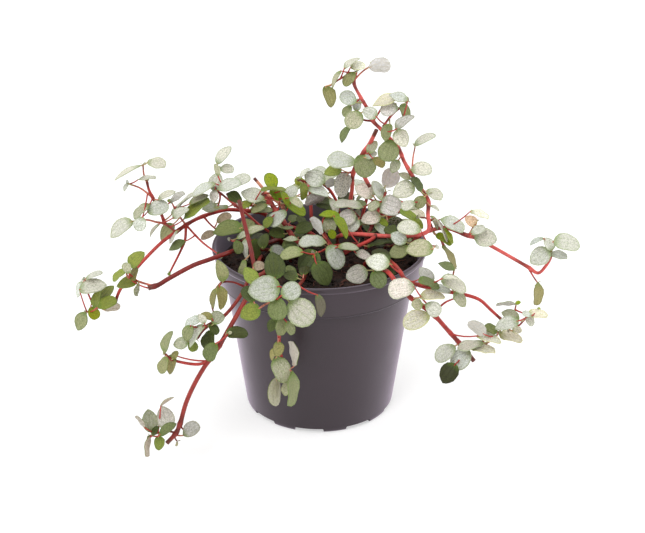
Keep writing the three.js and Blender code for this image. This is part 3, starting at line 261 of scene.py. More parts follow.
def turned(name, rings, sides):
    """A round shape: its first ring is drawn and then extruded from ring to ring.
    Each ring is (radius, height); the open ends are closed."""
    start_fresh()
    radius, height = rings[0]
    bpy.ops.mesh.primitive_circle_add(vertices=sides, radius=radius, location=(0, 0, height))
    thing = added(name)
    settle(thing)
    bpy.ops.object.mode_set(mode="EDIT")
    bpy.ops.mesh.select_all(action="SELECT")
    for next_radius, next_height in rings[1:]:
        rise = (0, 0, next_height - height)
        bpy.ops.mesh.extrude_region_move(TRANSFORM_OT_translate={"value": rise})
        grow = next_radius / radius
        bpy.ops.transform.resize(value=(grow, grow, 1), center_override=(0, 0, next_height))
        radius, height = next_radius, next_height
    bpy.ops.mesh.edge_face_add()
    bpy.ops.mesh.select_all(action="DESELECT")
    bpy.ops.mesh.select_non_manifold()
    bpy.ops.mesh.edge_face_add()
    bpy.ops.mesh.select_all(action="SELECT")
    bpy.ops.mesh.normals_make_consistent(inside=False)
    bpy.ops.object.mode_set(mode="OBJECT")
    return thing


def on_axis(thing):
    """Move a piece made round the origin onto the pot's axis."""
    thing.location = (POT_X, POT_Y, 0)
    settle(thing)


band_foot = POT_HEIGHT - BAND_DEPTH
floor_top = FOOT_RING_HEIGHT + FLOOR
foot_inside = FOOT_RADIUS - FOOT_RING_WIDTH
pot_rings = [
    (foot_inside - 1 * MM, FOOT_RING_HEIGHT),
    (foot_inside - 0.2 * MM, FOOT_RING_HEIGHT),
    (foot_inside, FOOT_RING_HEIGHT - 0.2 * MM),
    (foot_inside, 0.2 * MM),
    (foot_inside + 0.2 * MM, 0),
    (FOOT_RADIUS - 1.0 * MM, 0),
    (FOOT_RADIUS - 0.5 * MM, 0.25 * MM),
    (FOOT_RADIUS - 0.1 * MM, 0.9 * MM),
    (FOOT_RADIUS + 0.15 * MM, 2.2 * MM),
    (SHOULDER_RADIUS - 0.1 * MM, band_foot - 1.6 * MM),
    (SHOULDER_RADIUS + 0.5 * MM, band_foot - 0.9 * MM),
    (BAND_FOOT_RADIUS - 0.5 * MM, band_foot - 0.25 * MM),
    (BAND_FOOT_RADIUS, band_foot + 0.3 * MM),
    (BAND_FOOT_RADIUS + 0.15 * MM, band_foot + 1.2 * MM),
    (RIM_RADIUS - 0.75 * MM, POT_HEIGHT - 2.6 * MM),
    (RIM_RADIUS - 0.3 * MM, POT_HEIGHT - 2.1 * MM),
    (RIM_RADIUS, POT_HEIGHT - 1.5 * MM),
    (RIM_RADIUS, POT_HEIGHT - 0.4 * MM),
    (RIM_RADIUS - 0.3 * MM, POT_HEIGHT - 0.08 * MM),
    (RIM_RADIUS - 0.8 * MM, POT_HEIGHT),
    (RIM_RADIUS - WALL - 0.1 * MM, POT_HEIGHT - 0.1 * MM),
    (RIM_RADIUS - WALL - 0.4 * MM, POT_HEIGHT - 0.5 * MM),
    (BAND_FOOT_RADIUS - WALL, band_foot + 0.8 * MM),
    (SHOULDER_RADIUS - WALL, band_foot - 0.4 * MM),
    (FOOT_RADIUS - WALL, floor_top + 0.5 * MM),
    (FOOT_RADIUS - WALL - 0.5 * MM, floor_top),
]
pot = turned("nursery_pot", pot_rings, POT_SIDES)

# The notches let water out from under the floor: small blocks are cut from the ring.
start_fresh()
cutters = []
for count in range(NOTCHES):
    angle = FIRST_NOTCH + count * 2 * math.pi / NOTCHES
    middle = FOOT_RADIUS - FOOT_RING_WIDTH / 2
    bpy.ops.mesh.primitive_cube_add(
        size=1,
        location=(middle * math.cos(angle), middle * math.sin(angle), 0),
        rotation=(0, 0, angle),
        scale=(3 * FOOT_RING_WIDTH, NOTCH_WIDTH, 2 * NOTCH_HEIGHT),
    )
    cutters.append(bpy.context.object)
notch_block = joined(cutters, "notch_block")
modify(notch_block, "BEVEL", width=NOTCH_ROUNDING, segments=2)
modify(pot, "BOOLEAN", operation="DIFFERENCE", solver="EXACT", object=notch_block)
bpy.data.objects.remove(notch_block)
on_axis(pot)
bpy.ops.object.shade_smooth_by_angle(angle=POT_CREASE)
pot.data.materials.clear()
pot.data.materials.append(pot_plastic)
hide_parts("pot")
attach(pot, "root")


# ---- Soil -----------------------------------------------------------------------
# Dark peat fills the pot to a little below the rim. Its top is crumbly, with small
# lumps and thin reddish fibres lying on it.

SOIL_TOP = 64.6 * MM
SOIL_SIDES = 96
SOIL_RINGS = 44
INSIDE_SLOPE = 0.17  # how fast the band's inside widens upward
LUMPS = ((7 * MM, 2.2 * MM), (1.6 * MM, 1.6 * MM))  # how wide and how high
LUMPS_AT_EDGE = 0.25  # of their height
LUMPS_GROW = 6  # how fast they reach their height away from the edge
TOP_LAYER = 0.1 * MM  # corners this near the top belong to it
CRUMBS = 420
CRUMB_SIZES = (0.3 * MM, 1.15 * MM)
CRUMB_WIDTHS = (0.6, 1)  # of its size
CRUMB_HEIGHTS = (0.5, 0.9)
CRUMB_OUT = 0.4  # how much of it stands out of the soil
CRUMB_REACH = 0.98  # of the way out to the soil's edge
CRUMB_ROUGHNESS = 0.7
FIBRES = 70
FIBRE_STEPS = 6
FIBRE_STRIDES = (0.8 * MM, 1.5 * MM)
FIBRE_RADII = (0.12 * MM, 0.28 * MM)
FIBRE_BEND = 0.6  # radians at each step, either way
FIBRE_RISE = 0.3 * MM
FIBRE_LEVEL = SOIL_TOP + 1 * MM
FIBRE_REACH = 0.9
FIBRE_REACH_MOST = 0.95  # a fibre that ends farther out is left away
GAP = 0.3 * MM

soil_random = random.Random(11)
soil_edge = BAND_FOOT_RADIUS - WALL + (SOIL_TOP - band_foot) * INSIDE_SLOPE - 2 * GAP
soil_rings = [
    (FOOT_RADIUS - WALL - GAP - 1 * MM, floor_top + GAP),
    (FOOT_RADIUS - WALL - GAP, floor_top + GAP),
    (SHOULDER_RADIUS - WALL - GAP, band_foot - 0.4 * MM),
    (BAND_FOOT_RADIUS - WALL - 2 * GAP, band_foot + 0.8 * MM + GAP),
]
for step in range(SOIL_RINGS + 1):
    soil_rings.append((soil_edge * (1 - step / (SOIL_RINGS + 0.5)), SOIL_TOP))
soil = turned("peat", soil_rings, SOIL_SIDES)

top_group = soil.vertex_groups.new(name="top")
for vertex in soil.data.vertices:
    if vertex.co.z > SOIL_TOP - TOP_LAYER:
        inside = 1 - math.hypot(vertex.co.x, vertex.co.y) / soil_edge
        top_group.add([vertex.index], min(1, LUMPS_AT_EDGE + inside * LUMPS_GROW), "REPLACE")
rough_top = {"texture_coords": "LOCAL", "direction": "Z", "mid_level": 0.5, "vertex_group": "top"}
for width, height in LUMPS:
    texture = bpy.data.textures.new("lumps", "CLOUDS")
    texture.noise_scale = width
    modify(soil, "DISPLACE", texture=texture, strength=height, **rough_top)


def copy_of(thing):
    """A copy with its own mesh, linked into the scene."""
    twin = thing.copy()
    twin.data = thing.data.copy()
    bpy.context.collection.objects.link(twin)
    return twin


def spot_on_soil(reach):
    """A random place on the soil, up to a share of the way out to its edge."""
    out = soil_edge * math.sqrt(soil_random.random()) * reach
    turn = soil_random.uniform(0, 2 * math.pi)
    return out * math.cos(turn), out * math.sin(turn)


start_fresh()
bpy.ops.mesh.primitive_ico_sphere_add(subdivisions=2, radius=1)
crumb = added("crumb")
texture = bpy.data.textures.new("crumb_lumps", "VORONOI")
texture.noise_scale = CRUMB_ROUGHNESS
modify(
    crumb,
    "DISPLACE",
    texture=texture,
    texture_coords="LOCAL",
    strength=CRUMB_ROUGHNESS,
    mid_level=0.3,
)
crumbs = []
for _ in range(CRUMBS):
    x, y = spot_on_soil(CRUMB_REACH)
    size = soil_random.uniform(*CRUMB_SIZES)
    piece = copy_of(crumb)
    piece.location = (x, y, SOIL_TOP + size * CRUMB_OUT)
    piece.rotation_euler = [soil_random.uniform(0, math.pi) for _ in range(3)]
    width = size * soil_random.uniform(*CRUMB_WIDTHS)
    piece.scale = (size, width, size * soil_random.uniform(*CRUMB_HEIGHTS))
    crumbs.append(piece)
bpy.data.objects.remove(crumb)
soil = joined([soil, *crumbs], "peat")
settle(soil)


def tube(name, runs, sides=6):
    """Round rods: each run is a list of (place, radius), drawn as a bevelled line."""
    start_fresh()
    bpy.ops.curve.primitive_nurbs_path_add(location=(0, 0, 0))
    shape = added(name).data
    shape.splines.clear()
    shape.bevel_depth = MM
    shape.bevel_resolution = max(0, sides // 2 - 2)
    shape.use_fill_caps = True
    for run in runs:
        line = shape.splines.new("POLY")
        line.points.add(len(run) - 1)
        for point, (where, radius) in zip(line.points, run):
            point.co = (*where, 1)
            point.radius = radius / MM
    bpy.ops.object.convert(target="MESH")
    return bpy.context.object


fibre_runs = []
for _ in range(FIBRES):
    where = Vector((*spot_on_soil(FIBRE_REACH), FIBRE_LEVEL))
    heading = soil_random.uniform(0, 2 * math.pi)
    radius = soil_random.uniform(*FIBRE_RADII)
    run = []
    for _ in range(FIBRE_STEPS):
        run.append((where.copy(), radius))
        heading += soil_random.uniform(-FIBRE_BEND, FIBRE_BEND)
        stride = soil_random.uniform(*FIBRE_STRIDES)
        where += Vector((math.cos(heading), math.sin(heading), 0)) * stride
        where.z += soil_random.uniform(-FIBRE_RISE, FIBRE_RISE)
    if math.hypot(where.x, where.y) < soil_edge * FIBRE_REACH_MOST:
        fibre_runs.append(run)
fibres = tube("fibres", fibre_runs, sides=4)

peat, shader, node = material("peat", 0.95)
place = object_place(node)
patches = noise(node, place, 260, 5, 0.6)
grains = noise(node, place, 1500, 3, 0.7)
earth = mix(node, between(node, patches, 0.35, 0.7), linear(24, 17, 15), linear(62, 40, 32))
earth = mix(node, between(node, grains, 0.55, 0.75), earth, linear(92, 62, 48))
paint(shader, "Base Color", earth)
bump(node, shader, grains, 0.0004, 0.8)
soil.data.materials.clear()
soil.data.materials.append(peat)

fibre_skin, shader, node = material("root_fibre", 0.7)
patches = noise(node, object_place(node), 400)
paint(shader, "Base Color", mix(node, patches, linear(64, 30, 24), linear(104, 62, 46)))
fibres.data.materials.append(fibre_skin)
only(soil)
bpy.ops.object.shade_smooth()
soil = joined([soil, fibres], "peat")
on_axis(soil)
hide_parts("soil")
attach(soil, "root")


# ---- Leafy stems: where they are ---------------------------------------------------
# The plant is a bunch of thin leafy stems that arch over the rim. Places are read along
# lines of sight from the front, in millimetres from the pot's axis, by the rule that set
# out the frame's own leafy nodes, so each leaf lies where its solid lies.

SOIL_LEVEL = SOIL_TOP / MM
POT_LEVEL = round(POT_HEIGHT / MM, 3)
RIM = round(RIM_RADIUS / MM, 3)
ROOT_DEPTH = 6  # a stem's foot stands this far down in the soil
ROOT_RISE = 2  # and it comes straight up this far before it turns
SAMPLES_PER_SPAN = 8

RIGHT = np.array([1.0, 0.0, 0.0])
AHEAD = np.array([0.0, math.cos(TILT), -math.sin(TILT)])
ABOVE = np.array([0.0, math.sin(TILT), math.cos(TILT)])
UP = np.array([0.0, 0.0, 1.0])


def unit(vector):
    return vector / np.linalg.norm(vector)


def sight_line(u, v):
    return AHEAD + RIGHT * (u - VIEW_CENTRE[0]) / FOCUS + ABOVE * (VIEW_CENTRE[1] - v) / FOCUS


def see(u, v, y):
    """The place that shows at (u, v) and is y behind the pot's axis."""
    line = sight_line(u, v)
    return EYE + line * (y - EYE[1]) / line[1]


def see_on_soil(u, v):
    line = sight_line(u, v)
    return EYE + line * (SOIL_LEVEL - EYE[2]) / line[2]


def shown_at(points):
    """Where points show on the view, and how far off they are."""
    away = np.atleast_2d(points) - EYE
    reach = away @ AHEAD
    u = VIEW_CENTRE[0] + FOCUS * (away @ RIGHT) / reach
    v = VIEW_CENTRE[1] - FOCUS * (away @ ABOVE) / reach
    return u, v, reach


def stem_line(width, tone, points, rooted, cut=False):
    """A stem's points, with the samples along it where leaf stalks may be fixed."""
    samples = [points[0]]
    for start, end in zip(points, points[1:]):
        for step in range(1, SAMPLES_PER_SPAN + 1):
            samples.append(start + (end - start) * step / SAMPLES_PER_SPAN)
    samples = np.array(samples)
    free = np.arange(len(samples)) >= (2 * SAMPLES_PER_SPAN if rooted else 0)
    line = {"width": width, "tone": tone, "points": np.array(points), "samples": samples}
    return {**line, "free": free, "shown": shown_at(samples), "rooted": rooted, "cut": cut}


def stem(width, tone, *places, cut=False):
    """A stem through places (u, v, y): u to the right and v down on a view 645 x 533
    units large, and how far back it lies. A first place (u, v) is where it leaves the soil."""
    rooted = len(places[0]) == 2
    if not rooted:
        return stem_line(width, tone, [see(*place) for place in places], rooted, cut)
    foot = see_on_soil(*places[0])
    points = [foot - UP * ROOT_DEPTH, foot + UP * ROOT_RISE]
    return stem_line(width, tone, points + [see(*place) for place in places[1:]], rooted, cut)


def stub(width, tone, *places):
    """A stem that has been cut back."""
    return stem(width, tone, *places, cut=True)


lines_of = {}
rows_of = {}


def leafy_stem(name, lines, rows=()):
    """A leafy stem: its main stem first, its side stems, and a row for each leaf."""
    for line in lines:
        line["sprig"] = name
    lines_of[name] = lines
    rows_of[name] = rows


# A leaf's row is (u, v, length, width, turn, tone): the middle of the blade and its size
# as seen, the way from stalk to tip in degrees from +u, turning up, and a word for its
# colour. UNDER marks a blade seen from below.
UNDER = "under"

leafy_stem("front_hanging", [
    stem(1.7, "brick", (312, 265), (305, 276, -23), (300, 284, -43), (294, 290, -49),
         (279, 298, -51)),
    stem(1.4, "crimson", (279, 298, -51), (279, 316, -51), (279, 337, -48), (281, 356, -46),
         (288, 372, -45), (291, 386, -44)),
    stem(0.9, "peach", (279, 298, -51), (268, 303, -53), (259, 308, -54)),
    stem(0.9, "crimson", (281, 356, -46), (278, 368, -45), (278, 379, -44)),
], [
    (265, 289, 30, 27, 190, "frost"), (301, 312, 30, 28, -40, "frost"),
    (291, 291, 21, 19, 25, "frost"), (278, 309, 22, 20, -90, "moss"),
    (251, 312, 19, 18, 205, "green"), (249, 294, 18, 13, 120, "dark"),
    (320, 305, 21, 10, -75, "dusk"), (272, 325, 14, 10, -120, "dark"),
    (281, 327, 18, 11, -85, "sage"), (290, 328, 15, 9, -60, "sage"),
    (278, 349, 15, 11, -90, "olive"), (273, 354, 12, 6, -110, "olive"),
    (281, 370, 26, 18, -65, "pale"), (293.5, 353, 25.5, 9, 95, "grey", UNDER),
    (275, 392, 28, 12, -95, "pale", UNDER), (285.5, 388, 16, 8, -100, "pale"),
    (292.5, 389, 35, 10, -88, "sage"),
])
leafy_stem("front_left", [
    stem(1.8, "garnet", (262, 262), (255, 270, -27), (249, 278, -37), (243, 292, -41),
         (223, 317, -48), (206, 327, -52), (197, 338, -54)),
    stub(1.9, "brick", (255, 270, -27), (251, 250, -23), (247, 233, -19), (243, 217, -16),
         (239, 200, -13)),
    stem(0.9, "brick", (243, 286, -40), (232, 282, -41), (221, 283, -42), (213, 295, -44),
         (212, 306, -46), (214, 314, -48)),
    stem(1, "crimson", (206, 327, -52), (195, 327, -53), (186, 333, -54)),
    stem(0.9, "rose", (197, 338, -54), (190, 341, -55)),
], [
    (217, 318, 14, 14, 60, "pale"), (207, 316, 12, 7, 150, "olive"),
    (193, 322, 19, 9, 205, "silver"), (188, 333, 16, 12, 250, "sage"),
    (196, 335, 25, 9, 232, "silver"), (202, 319, 11, 7, 120, "silver"),
    (214, 329, 13, 8, -45, "dark"), (208, 340, 20, 14, -110, "dark"),
    (181, 343, 15, 12, 190, "pale"), (193, 346, 12, 10, -70, "green"),
    (221, 271, 21, 11, 100, "sage"), (214, 298, 20, 7, -105, "olive"),
    (221, 297, 23, 9, -80, "olive"), (243, 269, 18, 9, -100, "sage"),
    (259, 266, 12, 10, 10, "rust"),
])
leafy_stem("front_low", [
    stub(2, "garnet", (272, 268), (264, 273, -30), (256, 279, -40), (246, 299, -45),
         (230, 327, -50), (219, 346, -53), (205, 366, -55), (195, 383, -57), (186, 403, -59),
         (180, 424, -60), (176, 433, -60), (167, 443, -61)),
    stem(1.4, "crimson", (211, 359, -54), (200, 364, -55), (185, 363, -56), (171, 359, -57),
         (165, 354, -57)),
    stem(0.9, "brick", (219, 346, -53), (223, 340, -54), (228, 334, -55)),
    stem(0.8, "brick", (180, 424, -60), (182, 428, -60), (185, 431, -60)),
    stem(0.9, "brick", (176, 433, -60), (167, 431, -60), (158, 433, -60), (150, 436, -60)),
    stem(0.8, "brick", (176, 433, -60), (175, 438, -60), (177, 441, -60)),
], [
    (274, 266, 26, 21, 95, "dark"), (251, 276, 20, 13, 120, "green"),
    (237, 333, 21, 12, 0, "dark"), (211, 352, 20, 15, 240, "moss"),
    (167, 342, 22, 10, 75, "sage"), (163, 365, 18, 11, 245, "sage"),
    (171, 364, 19, 12, 255, "olive"), (175, 355, 9, 7, 60, "olive"),
    (165, 418, 22, 17, 100, "grey"), (191, 429.5, 19, 14, 38, "grey"),
    (150, 421, 22, 14, 95, "pale"), (140.5, 421.5, 15, 6, 125, "rust", UNDER),
    (167, 401, 16, 3, 38, "rust", UNDER), (167, 429, 19, 9, 40, "moss"),
    (159, 443, 14, 10, -85, "green"), (148, 446, 22, 3, -100, "rust", UNDER),
    (155, 431, 12, 6, 60, "dark"),
])
leafy_stem("right_front", [
    stub(1.9, "crimson", (365, 268), (378, 269, -26), (389, 273, -39), (399, 286, -43),
         (411, 298, -45), (418, 303, -45), (435, 316, -46), (445, 327, -47), (461, 345, -49),
         (474, 361, -51)),
    stem(1, "crimson", (435, 316, -46), (439, 308, -46), (446, 302, -46), (453, 299, -46)),
    stem(0.9, "rose", (418, 303, -45), (424, 305, -46), (428, 305, -47)),
    stem(0.9, "rose", (461, 345, -49), (472, 349, -50), (485, 344, -51), (494, 338, -51),
         (498, 334, -51)),
    stem(0.8, "crimson", (485, 344, -51), (483, 341, -51), (482, 337, -51)),
    stem(0.8, "peach", (465, 350, -50), (462, 358, -51), (459, 366, -51)),
], [
    (461, 359, 24, 18, 230, "silver"), (445, 353, 24, 14, 215, "silver"),
    (449, 373, 22, 18, 235, "night"), (416, 320, 28, 18, 200, "cream"),
    (433, 309, 17, 15, -40, "silver"), (432, 296, 24, 10, 5, "cream"),
    (417, 304, 10, 12, 190, "pale"), (489, 338, 24, 10, -10, "cream"),
    (470, 345, 26, 8, 190, "silver"), (484, 349, 24, 8, -2, "cream"),
    (477, 328, 20, 12, 140, "grey", UNDER), (491, 329, 15, 9, 150, "moss"),
    (401, 289, 27, 20, 190, "lilac"), (357, 274, 21, 19, 200, "grey"),
    (378, 279, 18, 17, -60, "moss"), (388, 271, 15, 9, -10, "dark"),
])
leafy_stem("right_low", [
    stem(1.8, "crimson", (380, 258), (391, 262, -18), (399, 270, -33), (407, 281, -40),
         (419, 285, -41), (444, 291, -42), (466, 295, -43), (480, 300, -43), (491, 310, -44),
         (503, 321, -45)),
    stem(0.9, "rose", (503, 321, -45), (505, 325, -45), (508, 328, -45)),
    stem(0.8, "peach", (503, 321, -45), (514, 312, -45), (516, 305, -45)),
    stem(0.9, "crimson", (508, 328, -45), (518, 326, -45), (524, 320, -45), (529, 314, -45),
         (537, 310, -45)),
    stem(0.9, "peach", (444, 291, -42), (453, 284, -42), (453, 277, -41), (454, 270, -40)),
], [
    (426, 276, 19, 14, 120, "grey"), (429, 283, 22, 9, -18, "moss"),
    (441, 289, 20, 8, -8, "silver"), (454, 284, 27, 15, -25, "silver"),
    (450, 278, 16, 4, 5, "silver"), (511, 316, 18, 12, 150, "pale"),
    (507, 324, 23, 12, 195, "silver"), (506, 304, 20, 4, 178, "grey", UNDER),
    (511, 337, 23, 10, -10, "cream"), (517, 330, 10, 7, 10, "cream"),
    (530, 321, 11, 9, -60, "silver"), (538, 314, 19, 9, 0, "cream"),
    (527, 314, 10, 6, 160, "silver"), (460, 299, 17, 12, -50, "pale"),
    (447, 266, 17, 8, 155, "moss"), (398, 268, 18, 17, -60, "sage"),
    (378, 262, 23, 17, 170, "silver"),
])
leafy_stem("right_rim", [
    stem(1.5, "brick", (385, 252), (392, 246, 2), (401, 244, -6), (408, 243, -10)),
    stem(0.9, "rose", (408, 243, -10), (420, 245, -15), (435, 246, -18)),
    stem(0.9, "crimson", (401, 244, -6), (402, 240, -9), (406, 232, -11), (418, 229, -11)),
], [
    (420, 249, 26, 18, 180, "pale"), (399, 251, 21, 14, 200, "sage"),
    (399, 238, 17, 14, 150, "silver"), (409, 228, 24, 15, 170, "silver"),
])
leafy_stem("center", [
    stem(1.7, "crimson", (328, 262), (332, 254, -6), (331, 246, -5), (326, 238, -2),
         (323, 228, 2), (325, 217, 5), (334, 213, 6)),
    stem(0.9, "crimson", (331, 246, -5), (345, 244, -3), (358, 243, -4)),
    stem(0.9, "crimson", (331, 246, -5), (322, 251, -14), (314, 254, -20)),
    stem(0.9, "crimson", (325, 238, -2), (308, 238, 0), (299, 245, 0)),
], [
    (335, 257, 26, 18, -60, "frost"), (312, 242, 28, 12, 178, "silver"),
    (309, 261.5, 25, 22, 232, "dark"), (322, 273, 25, 21, -60, "dark"),
    (291, 254, 24, 12, 190, "sage"), (291, 239, 15, 5, 175, "pale"),
    (348, 247, 20, 8, 0, "pale"), (329, 225, 16, 14, -80, "pale"),
    (317, 225, 20, 9, 120, "lilac", UNDER), (330, 215, 20, 8, 170, "lime"),
    (341, 226, 25, 9, -55, "lime"), (332, 234, 10, 8, -60, "lime"),
    (380, 243, 26, 5, 15, "dark"), (364, 256, 18, 9, -20, "lilac"),
])
leafy_stem("center_low", [
    stem(1.5, "wine", (290, 262), (284, 255, -6), (272, 250, -6), (259, 249, -4),
         (247, 240, -1), (240, 232, 2)),
    stem(0.9, "brick", (247, 240, -1), (239, 241, -2), (231, 240, -3)),
], [
    (246, 249, 21, 7, -92, "silver"), (256, 249, 20, 9, -80, "dark"),
    (264, 241, 15, 11, 75, "dark"), (277, 250, 14, 11, 0, "slate"),
    (255, 230, 18, 8, 25, "pale"), (243, 235, 14, 7, 30, "pale"),
    (228, 229, 28, 16, 185, "moss"), (238, 247, 14, 10, -70, "moss"),
])
leafy_stem("center_right", [
    stem(1.6, "salmon", (366, 250), (366, 240, 10), (372, 226, 13), (377, 213, 15),
         (382, 202, 16), (386, 192, 17)),
    stem(0.9, "brick", (372, 226, 13), (360, 218, 12), (353, 210, 12)),
    stem(0.9, "crimson", (377, 213, 15), (392, 217, 12), (400, 211, 11)),
    stem(0.9, "crimson", (382, 202, 16), (372, 200, 16), (364, 196, 17)),
], [
    (391, 206, 23, 21, -20, "lilac"), (371, 218, 19, 15, 190, "lilac"),
    (347, 217, 18, 16, 200, "lilac"), (353, 225, 16, 13, 225, "silver"),
    (384, 231, 22, 11, -35, "silver"), (383, 222, 13, 7, -35, "lime"),
    (412, 218, 28, 10, -35, "lime"), (348, 205, 31, 9, 172, "silver"),
    (365, 191, 20, 16, 150, "lilac"), (378, 190, 21, 11, 110, "silver"),
    (390, 178, 21, 18, 60, "plum", UNDER), (374, 206, 14, 9, 210, "pale"),
    (396, 221, 17, 7, 0, "dark", UNDER), (357, 215, 12, 8, 80, "pale"),
])
leafy_stem("tall", [
    stem(1.9, "salmon", (337, 250), (339, 236, 4), (352, 234, 2), (385, 236, -4),
         (408, 236, -6), (428, 231, -4), (428, 214, -1), (428, 200, 1), (421, 189, 3),
         (412, 175, 4), (404, 161, 5), (399, 149, 6), (391, 140, 6), (383, 131, 6),
         (373, 121, 6), (367, 108, 6), (360, 96, 6), (354, 83, 6), (356, 72, 6)),
    stem(1, "brick", (373, 121, 6), (364, 120, 7), (357, 116, 8), (350, 112, 9)),
    stem(0.9, "crimson", (373, 121, 6), (378, 114, 7), (382, 108, 8), (392, 103, 9)),
    stem(1, "crimson", (383, 127, 6), (387, 121, 7), (392, 115, 8), (401, 107, 9),
         (407, 102, 10)),
    stem(0.8, "crimson", (354, 83, 6), (347, 76, 5), (340, 79, 4), (334, 83, 4), (330, 86, 4)),
    stem(0.8, "rose", (355, 79, 6), (362, 72, 7), (370, 66, 8)),
    stem(0.8, "rose", (412, 172, 4), (413, 158, 4), (415, 147, 4)),
    stem(0.8, "rose", (428, 203, 1), (424, 199, 0), (427, 194, 0)),
    stub(1.7, "crimson", (344, 253, -10), (358, 246, -9), (372, 239, -5), (376, 235, -3)),
    stem(0.9, "peach", (397, 147, 6), (398, 133, 5), (401, 124, 5)),
], [
    (380, 66, 22, 13, 5, "lilac", UNDER), (358, 66, 15, 10, 10, "cream"),
    (351, 63, 18, 7, 40, "silver"), (349, 79, 17, 11, 230, "sage"),
    (336, 79, 19, 5, 240, "pale"), (329, 96, 21, 13, -70, "olive"),
    (348, 98, 18, 15, 150, "silver"), (357, 105, 12, 9, 90, "silver"),
    (347, 111, 13, 9, 235, "sage"), (354, 120, 20, 18, 225, "pale"),
    (345, 134, 17, 8, 238, "moss"), (370, 113, 15, 13, 150, "silver"),
    (386, 100, 27, 12, 196, "cream"), (399, 97, 19, 11, 160, "silver"),
    (389, 109, 18, 14, 190, "lilac"), (405, 112, 17, 11, -70, "moss"),
    (404, 122, 22, 10, 42, "grey"), (401, 138, 18, 16, -60, "silver"),
    (387, 132, 17, 11, -110, "sage"), (388, 151, 22, 21, 250, "sage"),
    (425, 139, 23, 9, 32, "silver"), (422, 169, 21, 15, 5, "silver"),
    (404, 190, 22, 18, 200, "silver"), (417, 184, 18, 9, 120, "dark"),
    (435, 194, 18, 12, -20, "silver"), (420, 202, 14, 12, 230, "sage"),
    (408, 205, 15, 10, 200, "silver"), (435, 208, 10, 4, -25, "silver"),
    (395, 166, 14, 10, 240, "pale"), (405, 176, 13, 7, 150, "pale"),
])
leafy_stem("middle", [
    stub(1.9, "salmon", (352, 236), (350, 222, 24), (350, 205, 22), (352, 190, 20),
         (353, 174, 18), (357, 163, 15), (364, 152, 13), (370, 143, 12), (376.5, 130, 10)),
    stub(1.9, "salmon", (357, 163, 15), (361, 170, 14), (365, 178, 13), (370, 187, 12)),
    stem(0.9, "crimson", (353, 172, 18), (345, 173, 19), (335, 172, 20)),
    stem(0.9, "peach", (364, 152, 13), (372, 156, 12), (378, 160, 12)),
], [
    (364, 166, 23, 22, -60, "sage"), (372, 147, 14, 10, 60, "pale"),
    (371, 155, 12, 8, 30, "silver"), (379, 162, 14, 10, -30, "olive"),
    (341, 160, 28, 18, 170, "silver"), (333, 171, 17, 12, 190, "green"),
    (343, 185, 24, 17, 250, "slate", UNDER), (331, 183, 12, 8, 200, "plum", UNDER),
])
leafy_stem("right_long", [
    stem(1.9, "salmon", (398, 258), (410, 244, 5), (419, 236, 5), (432, 230, 4), (446, 228, 3),
         (466, 235, 2), (476, 238, 1), (493, 247, 0), (528, 267, -2), (538, 273, -3),
         (545, 267, -4), (551, 256, -4), (549, 245, -4)),
    stem(0.9, "crimson", (434, 233, 4), (441, 240, 2), (446, 249, 1), (450, 258, 0),
         (452, 268, -1)),
    stem(0.8, "crimson", (529, 269, -2), (533, 276, -3), (537, 282, -4)),
    stem(0.8, "rose", (468, 236, 2), (472, 229, 3), (475, 222, 4)),
    stem(0.8, "garnet", (434, 233, 4), (431, 224, 5), (428, 219, 6), (420, 217, 6)),
], [
    (485, 238, 21, 19, -10, "silver"), (478, 230, 16, 9, 30, "silver"),
    (471, 221, 13, 11, 140, "peach"), (480, 214, 20, 8, -15, "cream"),
    (453, 224, 26, 14, -20, "silver"), (442, 229, 25, 5, -58, "lilac"),
    (444, 239, 18, 9, -30, "lime"), (449, 236, 18, 6, -60, "lime"),
    (435, 222, 14, 6, -60, "pale"), (450, 257, 27, 8, -58, "olive"),
    (567, 243, 26, 18, -10, "silver"), (559, 255, 18, 9, -5, "silver"),
    (540, 256, 22, 18, 215, "silver"), (549, 244, 14, 11, 120, "silver"),
    (537, 241, 15, 4, 200, "silver"), (538, 294, 23, 12, -90, "olive"),
])
leafy_stem("cut_middle", [
    stub(2, "salmon", (303, 256), (298, 244, 5), (289, 231, 7), (280, 216, 9), (270, 202, 11),
         (262, 193, 12)),
    stub(1.5, "peach", (283, 221, 8), (283, 207, 12), (275, 200, 14), (268, 195, 15),
         (261, 186, 16), (254, 178, 17)),
    stem(0.9, "peach", (283, 207, 12), (289, 200, 12), (293, 197, 12)),
    stem(0.9, "crimson", (270, 202, 11), (260, 206, 10), (250, 206, 10)),
], [
    (253, 195, 23, 15, 160, "silver"), (271, 181, 18, 13, 110, "lime"),
    (276, 194, 15, 11, 120, "lime"), (273, 189, 24, 5, 5, "green"),
    (285, 198, 16, 7, -60, "lime"), (296, 208, 23, 11, -30, "lime"),
    (291, 193, 17, 12, 60, "silver"), (296, 202, 16, 8, -30, "pale"),
    (277, 218, 22, 14, 215, "silver"), (268, 222, 13, 9, 230, "green"),
    (259, 208, 18, 8, 200, "sage"), (246, 204, 12, 8, 200, "green"),
    (235, 197, 16, 11, 140, "dark"),
])
leafy_stem("left_low", [
    stub(2.1, "brick", (281, 245), (268, 243, 8), (252, 246, 2), (236, 250, -9),
         (222, 255, -17), (208, 260, -20), (194, 265, -22), (168, 279, -26), (158, 285, -28),
         (148, 288, -29)),
    stem(1, "rose", (154, 286, -28), (140, 282, -29), (128, 277, -30), (126, 269, -30)),
], [
    (136, 259.5, 20, 14, 50, "green"), (134, 274, 14, 9, 75, "olive"),
    (127, 283, 20, 12, 190, "green"), (119, 275, 18, 8, 215, "green"),
    (137, 290, 13, 4, -105, "moss", UNDER), (127, 268, 12, 8, 110, "pale"),
])
